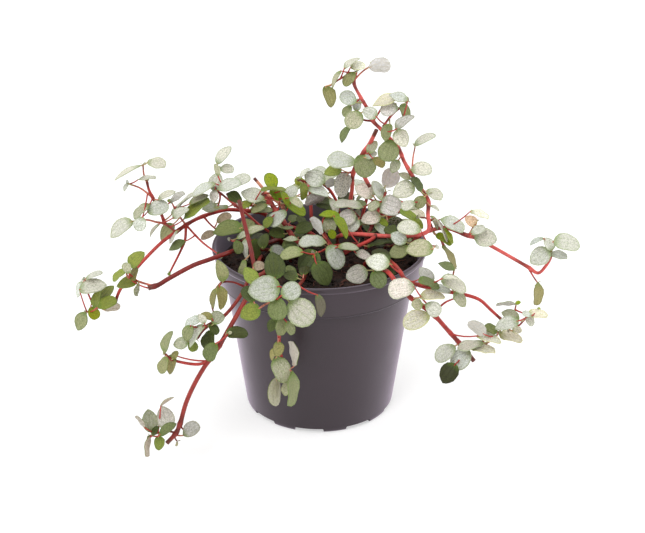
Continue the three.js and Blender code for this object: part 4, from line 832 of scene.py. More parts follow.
leafy_stem("top_left", [
    stem(1.2, "salmon", (272, 240), (258, 224, 20), (248, 215, 18), (239, 208, 16),
         (230, 201, 15), (220, 193, 14), (215, 191, 14)),
    stem(0.9, "crimson", (215, 191, 14), (216, 178, 16.5), (219, 170, 17)),
    stem(0.9, "salmon", (220, 193, 14), (220, 199, 13), (218, 206, 12)),
    stem(0.9, "crimson", (215, 191, 14), (225, 189, 13), (232, 186, 13)),
    stub(1.5, "crimson", (236, 206, 16), (231, 200, 18), (227, 193, 19)),
], [
    (216, 182, 18, 15, 80, "silver"), (223, 155, 21, 12, 55, "silver"),
    (227, 169, 14, 10, 0, "silver"), (217, 170, 13, 5, 100, "pale"),
    (241, 180, 20, 12, 25, "silver"), (229, 185, 24, 13, 22, "silver"),
    (203, 189, 26, 10, 205, "silver"), (214, 196, 13, 9, -100, "lilac"),
    (209, 206, 14, 9, 200, "silver"), (216, 208, 24, 7, 185, "pale"),
])
leafy_stem("far_left", [
    stem(2, "crimson", (318, 244), (308, 232, 21), (291, 227, 25), (275, 220, 27),
         (262, 213, 27), (250, 211, 26), (238, 210, 25), (225, 210, 22), (200, 217.5, 16),
         (186, 225, 11), (176, 232, 8), (161, 243, 4), (136, 269, -2), (120, 290, -6),
         (115, 303, -8)),
    stem(1, "crimson", (186, 225, 11), (201, 241, 1), (211, 249, -8), (218, 254, -13)),
    stem(1.3, "crimson", (186, 225, 11), (185, 240, 7), (181, 250, 3), (170, 272, -8)),
    stem(1.1, "rose", (176, 232, 8), (165, 224, 7), (156, 222, 6), (148, 220, 5),
         (138, 220, 4)),
    stem(1.5, "crimson", (165, 224, 7), (160, 211, 8), (154, 200, 9), (149, 190, 9),
         (147, 182, 9)),
    stem(0.9, "rose", (152, 197, 9), (140, 188, 8), (129, 184, 7)),
    stem(0.9, "rose", (147, 182, 9), (144, 175, 9), (143, 165, 9)),
    stem(0.9, "crimson", (115, 303, -8), (105, 308, -9), (95, 308, -9), (87, 312, -10)),
    stem(0.9, "crimson", (95, 308, -9), (90, 298, -9), (86, 288, -9), (84, 281, -9)),
    stem(0.9, "crimson", (204, 217, 15.9), (210, 224, 13), (217, 230, 10)),
    stem(0.9, "rose", (186, 225, 11), (180, 217, 12), (174, 207, 12), (172, 203, 12)),
], [
    (92, 286.5, 26, 15, 14, "silver"), (94, 275, 18, 6, 25, "silver"),
    (80, 289, 16, 9, 245, "silver"), (104, 296, 25, 13, 55, "green"),
    (107, 303, 20, 12, 25, "green"), (97, 299, 19, 11, 80, "green"),
    (112, 307, 17, 9, 20, "rust", UNDER), (94, 313, 14, 11, -60, "yellow"),
    (81, 321, 19, 14, 245, "sage"), (127, 172, 30, 7, 205, "silver"),
    (157, 163, 19, 12, -5, "silver"), (147, 178, 18, 5, 10, "silver"),
    (126, 187, 9, 5, 235, "silver"), (158, 208, 22, 16, 20, "silver"),
    (141, 211, 22, 10, 220, "pale"), (140, 224, 15, 13, 250, "silver"),
    (121, 228, 26, 16, 212, "silver"), (166, 195, 18, 8, 30, "silver"),
    (177, 197, 18, 8, 38, "grey"), (182, 203, 30, 5, 48, "silver"),
    (154, 230, 15, 4, 228, "silver"), (180, 213, 18, 10, 35, "silver"),
    (196, 208, 32, 12, 43, "green"), (198, 199, 20, 8, 30, "pale"),
    (167, 232, 20, 13, 232, "sage"), (173, 237, 15, 5, 235, "silver"),
    (177, 245, 18, 9, 205, "moss"), (208, 235, 16, 8, 200, "rust"),
    (224, 218, 16, 10, 30, "rust"),
])
leafy_stem("back_middle", [
    stem(1.5, "crimson", (340, 232), (339, 216, 32), (337, 203, 31), (328, 188, 30),
         (318, 182, 29), (307, 182, 28), (298, 180, 27)),
    stem(0.9, "crimson", (337, 203, 31), (330, 198, 30), (322, 193, 30)),
], [
    (315, 178, 21, 18, 160, "silver"), (318, 191, 21, 11, -15, "silver"),
    (315, 199, 21, 11, 200, "lilac", UNDER), (303, 191, 17, 8, -85, "green"),
    (304, 173, 15, 5, 50, "silver"), (299, 181, 10, 9, 120, "yellow"),
    (334, 206, 16, 8, -60, "silver"),
])

# The far side can't be seen from the front, so its leafy stems follow a rule: each
# leaves the soil a little inside its edge, arches over the rim and carries leaves in
# pairs.
BACK_ROOT_RADIUS = 33  # from the pot's axis
BACK_SPANS = 7
BACK_STEM_WIDTH = 1.7
BACK_FALL = 1.5  # the power by which such a stem falls past the rim


def back_stem(heading, reach, rise, drop):
    """An unseen stem rises from the soil, is highest over the rim and then droops."""
    turn = math.radians(heading)
    way = np.array([math.cos(turn), math.sin(turn), 0])
    foot = way * BACK_ROOT_RADIUS
    points = [foot + UP * (SOIL_LEVEL - ROOT_DEPTH), foot + UP * (SOIL_LEVEL + ROOT_RISE)]
    for step in range(1, BACK_SPANS + 1):
        out = BACK_ROOT_RADIUS + (reach - BACK_ROOT_RADIUS) * step / BACK_SPANS
        if out < RIM:
            fall = rise * ((RIM - out) / (RIM - BACK_ROOT_RADIUS)) ** 2
        else:
            fall = drop * ((out - RIM) / (reach - RIM)) ** BACK_FALL
        points.append(way * out + UP * (SOIL_LEVEL + rise - fall))
    return stem_line(BACK_STEM_WIDTH, "crimson", points, rooted=True)


leafy_stem("back_left", [back_stem(heading=122, reach=62, rise=15, drop=30)])
leafy_stem("back", [back_stem(heading=96, reach=66, rise=18, drop=14)])
leafy_stem("back_right", [back_stem(heading=58, reach=62, rise=20, drop=30)])
leafy_stem("right_back", [back_stem(heading=38, reach=56, rise=16, drop=22)])

every_line = [line for lines in lines_of.values() for line in lines]
counts = [len(line["samples"]) for line in every_line]
STEM_SPOTS = np.concatenate([line["samples"] for line in every_line])
STEM_WIDTHS = np.repeat([line["width"] for line in every_line], counts)
STEM_NAMES = np.repeat([line["sprig"] for line in every_line], counts)


# ---- Leafy stems: where each leaf is ------------------------------------------------
# A leaf is a round cupped blade on a thin stalk. It keeps clear of the pot, of the other
# leaves and of the stems, as on a living plant, where leaves push each other aside.

BLADE_CUP = 0.07  # how far the sides rise, as a share of the width
BLADE_DROOP = 0.08  # how far the tip falls, as a share of the length
WIDTH_TO_LENGTH = 0.87
RIM_OF_BLADE = 10  # points round a blade's edge
STALK_REACH = 14  # the longest leaf stalk
STALK_SHORTEST = 1.2
STALK_STEP = 1.2
LEAST_STRAIGHT = 0.05  # a stalk never turns back under its blade
STRAIGHT_WORTH = 1.7  # the more this is, the less a straight stalk counts
STALK_ZONE = 0.35  # of the length: a blade's own stem may come this near its base
CLEAR_OF_BLADE = 1.5
CLEAR_OF_OWN_BLADE = 0.8
BESIDE_BLADE = 0.8
CLEAR_OF_STEM = 1
STEM_BESIDE_BLADE = 0.6
STALK_CLEAR_OF_BLADE = 1.1
STALKS_APART = 1.2
CLEAR_OF_TABLE = 1.2
CLEAR_OF_SOIL = 2.2
SOIL_EDGE_INSIDE = 3  # the soil's edge from the rim's outer edge
CLEAR_OF_POT = 1
RIM_ZONE = 4.5  # how far inside the rim's outer edge its wall is kept clear
BLADE_TO_STALK = 3  # units of the view, from a blade's base back to its stem
TINY = 1e-6
# How far back from its stem a leaf is tried, in order: first a little in front.
SHIFTS = (-2, -3.5, -5, -0.5, -6.5, 1, -8, 2.5, 4, -9.5, 5.5, 7, 8.5, 10, 12, 14, 16, -11, -13, -15)

placed = []


def blade(base, along, upper, length, tone, turned=False):
    """A leaf's blade: its base, the way to its tip, and the side its face looks to."""
    across = unit(np.cross(upper, along))
    normal = unit(np.cross(along, across))
    leaf = {"base": base, "along": along, "across": across, "normal": normal}
    leaf |= {"middle": base + along * length / 2, "length": length}
    leaf["width"] = length * WIDTH_TO_LENGTH
    return {**leaf, "tone": tone, "turned": turned}


def read_blade(row, depth):
    """The true blade behind what is seen: a narrow one is rolled about its length, a
    short one leans, and of the two ways either can go, the upper face looks up."""
    u, v, seen_length, seen_width, turn, tone = row[:6]
    angle = math.radians(turn)
    seen_along = RIGHT * math.cos(angle) + ABOVE * math.sin(angle)
    seen_across = np.cross(-AHEAD, seen_along)
    base_u = u - math.cos(angle) * seen_length / 2
    base_v = v + math.sin(angle) * seen_length / 2
    base = see(base_u, base_v, depth)
    full = max(seen_length, seen_width / WIDTH_TO_LENGTH)
    lean = math.acos(seen_length / full)
    roll = math.acos(min(1, seen_width / (full * WIDTH_TO_LENGTH)))
    facing = AHEAD if UNDER in row else -AHEAD
    best = None
    for lean_way in (1, -1):
        for roll_way in (1, -1):
            along = seen_along * math.cos(lean) - AHEAD * lean_way * math.sin(lean)
            square = -np.cross(seen_across, along)
            if square @ facing < 0:
                square = -square
            upper = square * math.cos(roll) + seen_across * roll_way * math.sin(roll)
            if best is None or upper[2] > best[1][2] + TINY:
                best = (along, upper)
    return blade(base, *best, full * shown_at(base)[2][0] / FOCUS, tone, UNDER in row)


def bend(length, width, x, y):
    """How far a blade stands off its flat plane, x from its base and y from its midrib."""
    return BLADE_CUP * width * (2 * y / width) ** 2 - BLADE_DROOP * length * (x / length) ** 2


def edge_of(leaf):
    """Points round the edge of a blade, with its middle last."""
    angles = np.arange(RIM_OF_BLADE) * 2 * math.pi / RIM_OF_BLADE
    x = np.append(leaf["length"] * (1 + np.cos(angles)) / 2, leaf["length"] / 2)
    y = np.append(np.sin(angles) * leaf["width"] / 2, 0)
    high = bend(leaf["length"], leaf["width"], x, y)
    flat = leaf["base"] + np.outer(x, leaf["along"]) + np.outer(y, leaf["across"])
    return flat + np.outer(high, leaf["normal"])


def stacked(leaves):
    """The same facts of several leaves, as arrays with a row for each."""
    keys = ("base", "along", "across", "normal", "length", "width", "edge")
    return {key: np.array([leaf[key] for leaf in leaves]) for key in keys}


def on_blades(leaves, points, margin):
    """How far out of each blade's edge points are (1 is on it), and how high."""
    away = points - leaves["base"][:, None]
    x = np.einsum("kpi,ki->kp", away, leaves["along"])
    y = np.einsum("kpi,ki->kp", away, leaves["across"])
    length = leaves["length"][:, None]
    width = leaves["width"][:, None]
    out = np.hypot((x - length / 2) / (length / 2 + margin), y / (width / 2 + margin))
    high = np.einsum("kpi,ki->kp", away, leaves["normal"]) - bend(length, width, x, y)
    return out, high


def edges_meet(leaves, edges, clearance, margin):
    """Which blades are touched or crossed by the edges of others."""
    out, high = on_blades(leaves, edges, margin)
    touched = (out < 1) & (np.abs(high) < clearance)
    ring = np.arange(RIM_OF_BLADE)
    first = np.concatenate([ring, ring])
    second = np.concatenate([(ring + 1) % RIM_OF_BLADE, np.full(RIM_OF_BLADE, RIM_OF_BLADE)])
    start, end = high[:, first], high[:, second]
    crosses = start * end < 0
    share = np.where(crosses, start / np.where(crosses, start - end, 1), 0)[..., None]
    crossings = edges[:, first] * (1 - share) + edges[:, second] * share
    out_there, _ = on_blades(leaves, crossings, margin)
    return touched.any(axis=1) | (crosses & (out_there < 1)).any(axis=1)


def gap_between(leaf, other):
    """How far two blades' middles are apart."""
    return np.linalg.norm(leaf["middle"] - other["middle"])


def meets_a_blade(leaf):
    """Whether a blade is too near another, and nearer ones may come on its own stem."""
    near = []
    for other in placed:
        if gap_between(leaf, other) <= (leaf["length"] + other["length"]) / 2 + CLEAR_OF_BLADE:
            near.append(other)
    if not near:
        return False
    own = np.array([other["sprig"] == leaf["sprig"] for other in near])[:, None]
    clearance = np.where(own, CLEAR_OF_OWN_BLADE, CLEAR_OF_BLADE)
    margin = np.where(own, 0, BESIDE_BLADE)
    them = stacked(near)
    itself = stacked([leaf] * len(near))
    meets = edges_meet(itself, them["edge"], clearance, margin)
    return (meets | edges_meet(them, itself["edge"], clearance, margin)).any()


def meets_pot(points):
    """Inside the pot's wall, the soil or the table, or too near one of them."""
    out = np.hypot(points[:, 0], points[:, 1])
    z = points[:, 2]
    band_low = POT_LEVEL - BAND_DEPTH / MM
    in_soil = (z < SOIL_LEVEL + CLEAR_OF_SOIL) & (out < RIM - SOIL_EDGE_INSIDE)
    in_band = (z < POT_LEVEL + CLEAR_OF_POT) & (out > RIM - RIM_ZONE) & (out < RIM + CLEAR_OF_POT)
    side = (FOOT_RADIUS + (SHOULDER_RADIUS - FOOT_RADIUS) * z / band_low) / MM
    in_side = np.where(z > band_low - CLEAR_OF_POT, in_band, out < side + CLEAR_OF_POT)
    return ((z < CLEAR_OF_TABLE) | in_soil | in_side).any()


def meets_a_stalk(leaf):
    """Whether a leaf and its stalk are too near a leaf of another stem and its stalk."""
    stalk = leaf["stalk"]
    for other in placed:
        reach = other["length"] / 2 + STALK_REACH + leaf["length"]
        if other["sprig"] == leaf["sprig"] or gap_between(leaf, other) > reach:
            continue
        for blades, points in ((other["frame"], stalk), (leaf["frame"], other["stalk"])):
            out, high = on_blades(blades, points, STEM_BESIDE_BLADE)
            if ((out < 1) & (np.abs(high) < STALK_CLEAR_OF_BLADE)).any():
                return True
        gaps = np.linalg.norm(stalk[:, None] - other["stalk"], axis=2)
        if (gaps < STALKS_APART).any():
            return True
    return False


def meets_a_stem(leaf):
    """Whether a blade touches a stem, past its own stalk's zone, or its stalk another."""
    own = STEM_NAMES == leaf["sprig"]
    clearance = STEM_WIDTHS / 2 + CLEAR_OF_STEM
    margin = np.where(own, -STEM_BESIDE_BLADE, STEM_BESIDE_BLADE)
    out, high = on_blades(leaf["frame"], STEM_SPOTS, margin)
    from_base = np.linalg.norm(STEM_SPOTS - leaf["base"], axis=1)
    at_own_stalk = own & (from_base < leaf["length"] * STALK_ZONE)
    gaps = np.linalg.norm(leaf["stalk"][:, None] - STEM_SPOTS, axis=2)
    touched = (out[0] < 1) & (np.abs(high[0]) < clearance) & ~at_own_stalk
    return touched.any() or ((gaps < clearance) & ~own).any()


def fix_stalk(leaf, lines):
    """The stalk runs straight from the stem to the blade's base. It is fixed to a near
    place on the stem, and best to one that lies straight behind the blade."""
    best = None
    for line in lines:
        stalks = leaf["base"] - line["samples"]
        lengths = np.linalg.norm(stalks, axis=1)
        straight = stalks @ leaf["along"] / np.maximum(lengths, TINY)
        fits = line["free"] & (lengths <= STALK_REACH) & (lengths >= STALK_SHORTEST)
        fits &= straight >= LEAST_STRAIGHT
        if fits.any():
            cost = np.where(fits, lengths * (STRAIGHT_WORTH - straight), np.inf)
            spot = int(cost.argmin())
            if best is None or cost[spot] < best[0]:
                best = (cost[spot], line["samples"][spot])
    return None if best is None else best[1]


def fits_in(leaf, lines):
    """Fix a leaf to its stem and keep it, if it clears all that is there."""
    leaf["sprig"] = lines[0]["sprig"]
    leaf["foot"] = fix_stalk(leaf, lines)
    if leaf["foot"] is None:
        return False
    leaf["edge"] = edge_of(leaf)
    leaf["frame"] = stacked([leaf])
    run = leaf["base"] - leaf["foot"]
    count = math.ceil(np.linalg.norm(run) / STALK_STEP)
    leaf["stalk"] = leaf["foot"] + np.outer(np.arange(1, count + 1) / count, run)
    if meets_pot(leaf["edge"]) or meets_pot(leaf["stalk"]) or meets_a_blade(leaf):
        return False
    if meets_a_stalk(leaf) or meets_a_stem(leaf):
        return False
    placed.append(leaf)
    return True


def depth_near(u, v, lines):
    """Depth of the stem behind a seen spot, from the sample nearest to it in the view."""
    best = None
    for line in lines:
        shown_u, shown_v, _ = line["shown"]
        distance = np.where(line["free"], np.hypot(shown_u - u, shown_v - v), np.inf)
        spot = int(distance.argmin())
        if best is None or distance[spot] < best[0]:
            best = (distance[spot], line["samples"][spot][1])
    return best[1]


def place_leaf(row, lines):
    """A leaf is tried where it is read, and then nearer and farther along the line of
    sight, until it clears the leaves and stems already there."""
    angle = math.radians(row[4])
    back = row[2] / 2 + BLADE_TO_STALK
    depth = depth_near(row[0] - math.cos(angle) * back, row[1] + math.sin(angle) * back, lines)
    for shift in SHIFTS:
        if fits_in(read_blade(row, depth + shift), lines):
            return


for name, rows in rows_of.items():
    for row in rows:
        place_leaf(row, lines_of[name])

# The leaves of the unseen stems grow in pairs, with a small whorl at the tip.
BACK_PAIRS = 5
BACK_BARE = 22  # samples along a stem before its first pair of leaves
BACK_LEAF_LENGTH = 9.5
BACK_SIZES = (0.8, 1.2)  # of that length
BACK_TIP_SIZE = 0.75  # of the leaves in the whorl
BACK_TIP_COUNT = 4
BACK_STALKS = (2.6, 5.0)  # the shortest and the longest stalk
BACK_LIFT = 0.8  # how much of a pair's turn shows as height
BACK_FORWARD = 0.35  # how far a leaf leans toward the stem's tip
BACK_RAISE = (0.15, 0.4)  # how far it lifts
BACK_NOD = 0.3  # how far its face nods toward the stem's tip
BACK_TONES = ("silver", "pale", "silver", "sage", "pale", "cream", "silver", "green")
PAIR_TURN = 1.2  # radians from one pair to the next
TURN_SPREAD = 0.9  # radians, either way together
TRIES = 8
SEED = 7
# Nothing of theirs rises into the open beside and between the stems in front: these
# parts of the view, from u to u and from the top down to v.
OPEN_VIEWS = ((0, 300, 188), (300, 322, 170), (370, 424, 200), (424, 645, 300))


def even_numbers(seed, factor=16807, span=2147483647):
    """Even random numbers from 0 to 1, the same on every run."""
    state = seed
    while True:
        state = state * factor % span
        yield state / span


def within(limits, numbers):
    """A random number between two limits."""
    return limits[0] + (limits[1] - limits[0]) * next(numbers)


def back_leaf(line, index, turn, size, numbers):
    samples = line["samples"]
    foot = samples[index]
    ahead = unit(samples[min(index + 1, len(samples) - 1)] - samples[max(index - 1, 0)])
    side = unit(np.cross(ahead, UP))
    lift = np.cross(side, ahead)
    along = side * math.cos(turn) + lift * math.sin(turn) * BACK_LIFT + ahead * BACK_FORWARD
    along = unit(along + UP * within(BACK_RAISE, numbers))
    length = BACK_LEAF_LENGTH * size * within(BACK_SIZES, numbers)
    base = foot + along * within(BACK_STALKS, numbers)
    tone = BACK_TONES[len(placed) % len(BACK_TONES)]
    return blade(base, along, UP + ahead * BACK_NOD * next(numbers), length, tone)


def shows_in_the_open(leaf):
    u, v, _ = shown_at([leaf["middle"], leaf["base"] + leaf["along"] * leaf["length"]])
    return any(((low < u) & (u < high) & (v < bottom)).any() for low, high, bottom in OPEN_VIEWS)


def leaf_back_stem(lines, numbers):
    last = len(lines[0]["samples"]) - 1
    for pair in range(BACK_PAIRS):
        index = math.floor(BACK_BARE + (last - BACK_BARE) * pair / (BACK_PAIRS - 1) + 0.5)
        tip = pair == BACK_PAIRS - 1
        count = BACK_TIP_COUNT if tip else 2
        for part in range(count):
            for _ in range(TRIES):
                turn = part * 2 * math.pi / count + pair % 2 * PAIR_TURN
                turn += (next(numbers) - 0.5) * TURN_SPREAD
                leaf = back_leaf(lines[0], index, turn, BACK_TIP_SIZE if tip else 1, numbers)
                if not shows_in_the_open(leaf) and fits_in(leaf, lines):
                    break


numbers = even_numbers(SEED)
for name in ("back_left", "back", "back_right", "right_back"):
    leaf_back_stem(lines_of[name], numbers)

# Small leaves stand low between the stems, darker than the ones in the light: painted shade.
SHADE_LEAVES = 46
SHADE_TRIES = 16  # for each of them
SHADE_REACH = 38  # how far from the pot's axis
SHADE_TOP = 80  # how high above the table
SHADE_LENGTHS = (5, 8.5)
SHADE_STALKS = (1.6, 4.0)
SHADE_RAISE = (0.1, 0.6)
SHADE_TILTS = (-0.4, 0.4)
SHADE_TONES = ("dark", "moss", "night", "dark", "sage", "dark", "moss")

numbers = even_numbers(SEED + 4)
grown_in_shade = 0
for _ in range(SHADE_LEAVES * SHADE_TRIES):
    lines = lines_of[list(lines_of)[int(next(numbers) * len(lines_of))]]
    samples = lines[0]["samples"][2 * SAMPLES_PER_SPAN :]
    foot = samples[int(next(numbers) * len(samples))]
    turn = next(numbers) * 2 * math.pi
    along = unit(np.array([math.cos(turn), math.sin(turn), within(SHADE_RAISE, numbers)]))
    length = within(SHADE_LENGTHS, numbers)
    base = foot + along * within(SHADE_STALKS, numbers)
    upper = UP - AHEAD * next(numbers) + RIGHT * within(SHADE_TILTS, numbers)
    leaf = blade(base, along, upper, length, SHADE_TONES[grown_in_shade % len(SHADE_TONES)])
    low = leaf["middle"][2] < SHADE_TOP and base[2] < SHADE_TOP
    inside = np.hypot(*leaf["middle"][:2]) < SHADE_REACH
    if grown_in_shade < SHADE_LEAVES and low and inside and fits_in(leaf, lines):
        grown_in_shade += 1


# ---- Leaves -----------------------------------------------------------------------
# Each blade is a thin, nearly round, slightly cupped leaf, smooth to the touch. A
# silver field fills it inside a narrow green margin, with three sunken veins.

BLADE_SIDES = 16
BLADE_THICKNESS = 0.03  # of the length
BLADE_CREASE = math.radians(50)  # a sharper edge than this stays sharp
INNER_RING = 0.62
TIP_ARC = 0.35  # radians round the tip and the base that their own shape takes up
BASE_DENT = 0.03
FOLD_FROM = 0.2  # a fold lifts the blade past this far from the midrib
UNEVEN = 0.03  # how much the width differs from place to place, either way
VEIN_WIDTH = 0.035
VEIN_BOW = 0.62  # how far a side vein bows out
VEIN_END = 1.25  # where it would meet the midrib again
VEIN_DEPTH = 0.25 * MM
BLOTCH_SCALE = 950
SPECKLE_SCALE = 2400
NET_SCALE = 850
BASE_GREEN = (104, 132, 50)
NET_COLOUR = (196, 190, 176)
UNDER_VEIN_COLOUR = (200, 190, 160)
FIELD_SPREAD = 0.07  # how much the colours differ from leaf to leaf, either way
MARGIN_SPREAD = 0.08

# The words for leaf colours: the field and the margin, as they look on the screen.
TONES = {
    "silver": ((208, 209, 197), (156, 167, 126)),
    "frost": ((182, 183, 171), (122, 140, 86)),
    "pale": ((177, 176, 150), (124, 141, 80)),
    # Painted light: silver made lighter, for leaves that stand in bright light.
    "cream": ((232, 228, 208), (194, 194, 132)),
    # On an underside, the blade's own pale colour; on an upper face, a lighter silver that is
    # painted light.
    "lilac": ((230, 223, 216), (164, 170, 140)),
    "grey": ((190, 185, 175), (132, 136, 108)),
    "sage": ((145, 147, 104), (108, 122, 66)),
    "green": ((130, 139, 60), (104, 124, 44)),
    "lime": ((134, 150, 24), (104, 130, 20)),
    "yellow": ((145, 149, 34), (118, 128, 26)),
    "olive": ((142, 135, 84), (112, 112, 54)),
    "moss": ((112, 121, 76), (80, 97, 44)),
    "dark": ((76, 85, 42), (58, 70, 30)),
    # Painted shade: a near-black green for leaves deep in the shade.
    "night": ((58, 61, 28), (42, 44, 20)),
    "peach": ((236, 204, 170), (212, 160, 112)),
    "slate": ((136, 134, 126), (92, 104, 70)),
    # Painted shade: slate made darker, for a leaf that lies in shade.
    "dusk": ((104, 98, 80), (86, 84, 56)),
    "plum": ((198, 190, 187), (152, 142, 138)),
    "rust": ((160, 146, 126), (126, 104, 82)),
}
# The undersides of some; the others' are the field made lighter and then paler.
BACK_OF = {"silver": (165, 160, 140), "pale": (160, 164, 128), "cream": (180, 172, 140)}
BACK_LIGHTER = 1.15
BACK_PALER = 12

leaf_random = random.Random(5)


def leaf_field(node):
    """Where a face's points are on the blade: along it, out from its middle, on a vein."""
    chart = node("ShaderNodeUVMap", uv_map="blade").outputs[0]
    parts = node("ShaderNodeSeparateXYZ", {"Vector": chart}).outputs
    along = parts[0]
    across = figure(node, "ABSOLUTE", figure(node, "SUBTRACT", parts[1], 0.5))
    off_middle = node("ShaderNodeVectorMath", {0: chart, 1: (0.5, 0.5, 0)}, operation="DISTANCE")
    out = figure(node, "MULTIPLY", off_middle.outputs["Value"], 2.0)
    # The midrib is straight; a side vein leaves the base and bows out on each side.
    bow = figure(node, "MULTIPLY", along, figure(node, "SUBTRACT", VEIN_END, along))
    beside = figure(node, "SUBTRACT", across, figure(node, "MULTIPLY", bow, VEIN_BOW))
    nearest = figure(node, "MINIMUM", across, figure(node, "ABSOLUTE", beside))
    return along, out, between(node, nearest, 0.0, VEIN_WIDTH, 1.0, 0.0)


def attribute(node, name):
    return node("ShaderNodeAttribute", attribute_name=name).outputs["Color"]


leaf_upper, shader, node = material("leaf_upper", 0.5, specular=0.3)
place = object_place(node)
along, out, vein = leaf_field(node)
blotch = noise(node, place, BLOTCH_SCALE, 4, 0.65)
speckle = noise(node, place, SPECKLE_SCALE, 2, 0.7)
field, margin = attribute(node, "tone"), attribute(node, "edge_tone")
# The margin's inner border is ragged, the base is greener, and small gaps in the silver
# show the green below it.
ragged = figure(node, "MULTIPLY_ADD", blotch, 0.3, figure(node, "SUBTRACT", out, 0.15))
at_edge = between(node, ragged, 0.76, 1.03, 0.0, 0.75)
at_base = between(node, figure(node, "MULTIPLY_ADD", blotch, 0.16, along), 0.08, 0.42, 0.85, 0.0)
gaps = between(node, blotch, 0.36, 0.52, 0.4, 0.0)
colour = mix(node, figure(node, "MAXIMUM", at_edge, gaps), field, margin)
colour = mix(node, at_base, colour, mix(node, 0.5, margin, linear(*BASE_GREEN)))
colour = mix(node, figure(node, "MULTIPLY", vein, 0.28), colour, margin)
paint(shader, "Base Color", shaded(node, colour, between(node, speckle, 0.34, 0.66, 0.7, 1.18)))
paint(shader, "Roughness", between(node, speckle, 0.3, 0.7, 0.42, 0.6))
height = figure(node, "MULTIPLY_ADD", speckle, 0.35, figure(node, "MULTIPLY", vein, -1.0))
bump(node, shader, height, VEIN_DEPTH, 0.45)

leaf_under, shader, node = material("leaf_under", 0.55, specular=0.3)
place = object_place(node)
_, _, vein = leaf_field(node)
blotch = noise(node, place, 900, 3, 0.6)
colour = shaded(node, attribute(node, "under_tone"), between(node, blotch, 0.3, 0.7, 0.82, 1.1))
cells = {"Vector": place, "Scale": NET_SCALE}
net = node("ShaderNodeTexVoronoi", cells, feature="DISTANCE_TO_EDGE").outputs["Distance"]
colour = mix(node, between(node, net, 0.0, 0.2, 0.6, 0.0), colour, linear(*NET_COLOUR))
colour = mix(node, figure(node, "MULTIPLY", vein, 0.3), colour, linear(*UNDER_VEIN_COLOUR))
paint(shader, "Base Color", colour)
bump(node, shader, vein, VEIN_DEPTH, 0.5)


def peak(turn):
    return math.exp(-((turn / TIP_ARC) ** 2))


def blade_master(name, wave=0.0, waves=3, fold=0.0, broad=0.0, point=0.0, lopsided=0.0):
    """A blade one unit long, its base at the origin and its tip on +X."""
    start_fresh()
    bpy.ops.mesh.primitive_circle_add(vertices=BLADE_SIDES, radius=0.5, location=(0.5, 0, 0))
    thing = added(name)
    settle(thing)
    bpy.ops.object.mode_set(mode="EDIT")
    bpy.ops.mesh.select_all(action="SELECT")
    bpy.ops.mesh.extrude_region_move()
    shrink = (INNER_RING, INNER_RING, 1)
    bpy.ops.transform.resize(value=shrink, center_override=(0.5, 0, 0))
    bpy.ops.mesh.edge_face_add()
    bpy.ops.mesh.poke()
    bpy.ops.mesh.select_all(action="SELECT")
    bpy.ops.mesh.normals_make_consistent(inside=False)
    bpy.ops.object.mode_set(mode="OBJECT")
    shape = thing.data
    if shape.polygons[0].normal.z < 0:
        shape.flip_normals()
    chart = shape.uv_layers.new(name="blade")
    for loop in shape.loops:
        where = shape.vertices[loop.vertex_index].co
        chart.data[loop.index].uv = (where.x, where.y + 0.5)
    for vertex in shape.vertices:
        x, y, _ = vertex.co
        out = math.hypot(x - 0.5, y) * 2
        turn = math.atan2(y, x - 0.5)
        x += out * (point * peak(turn) - BASE_DENT * peak(math.pi - abs(turn)))
        y *= WIDTH_TO_LENGTH * (1 + broad * out * math.cos(turn))
        y *= leaf_random.uniform(1 - UNEVEN, 1 + UNEVEN)
        y += lopsided * out * math.sin(turn) ** 2
        ripple = wave * out**3 * math.sin(waves * turn)
        lift = fold * (abs(y) - FOLD_FROM) * out
        vertex.co = (x, y, bend(1, WIDTH_TO_LENGTH, x, y) + ripple + lift)
    shape.materials.append(leaf_upper)
    shape.materials.append(leaf_under)
    modify(thing, "SOLIDIFY", thickness=BLADE_THICKNESS, offset=0, material_offset=1)
    bpy.ops.object.shade_smooth_by_angle(angle=BLADE_CREASE)
    return thing


masters = [
    blade_master("blade_round", wave=0.01, broad=0.06),
    blade_master("blade_wavy", wave=0.04, broad=-0.06, point=0.04, lopsided=0.02),
    blade_master(
        "blade_rippled", wave=0.03, waves=5, fold=0.05, broad=0.12, point=-0.02, lopsided=-0.02
    ),
    blade_master("blade_folded", wave=0.015, waves=4, fold=0.2, broad=-0.08, point=0.05),
    blade_master(
        "blade_egg", wave=0.02, waves=2, fold=0.08, broad=-0.13, point=0.06, lopsided=-0.02
    ),
    blade_master("blade_spoon", wave=0.03, waves=4, fold=-0.06, broad=0.16, lopsided=0.025),
]


def dye(thing, name, colours):
    """Give each of a piece's points a colour in an attribute."""
    layer = thing.data.attributes.new(name, "FLOAT_COLOR", "POINT")
    layer.data.foreach_set("color", [part for colour in colours for part in colour])


def varied(colour, spread):
    """A screen colour, a little lighter or darker and warmer or cooler."""
    light = 1 + leaf_random.uniform(-spread, spread)
    warm = 1 + leaf_random.uniform(-spread, spread) / 3
    red, green, blue = colour
    changed = (red * light * warm, green * light, blue * light / warm)
    return linear(*[min(255, part) for part in changed])


def to_world(place):
    """A place in millimetres from the pot's axis, in metres on the table."""
    return Vector((POT_X + place[0] * MM, POT_Y + place[1] * MM, place[2] * MM))


def grown_blade(leaf):
    """A copy of a blade, turned and scaled to its place."""
    twin = copy_of(leaf_random.choice(masters))
    turn = Matrix([leaf["along"], leaf["across"], leaf["normal"]]).transposed().to_4x4()
    size = Matrix.Scale(leaf["length"] * MM, 4)
    twin.data.transform(Matrix.Translation(to_world(leaf["base"])) @ turn @ size)
    field, margin = TONES[leaf["tone"]]
    back = BACK_OF.get(leaf["tone"], [min(255, part * BACK_LIGHTER + BACK_PALER) for part in field])
    if leaf["turned"]:
        back = field
        field, margin = TONES["sage"]
    count = len(twin.data.vertices)
    dye(twin, "tone", [varied(field, FIELD_SPREAD)] * count)
    dye(twin, "edge_tone", [varied(margin, MARGIN_SPREAD)] * count)
    dye(twin, "under_tone", [varied(back, MARGIN_SPREAD)] * count)
    return twin


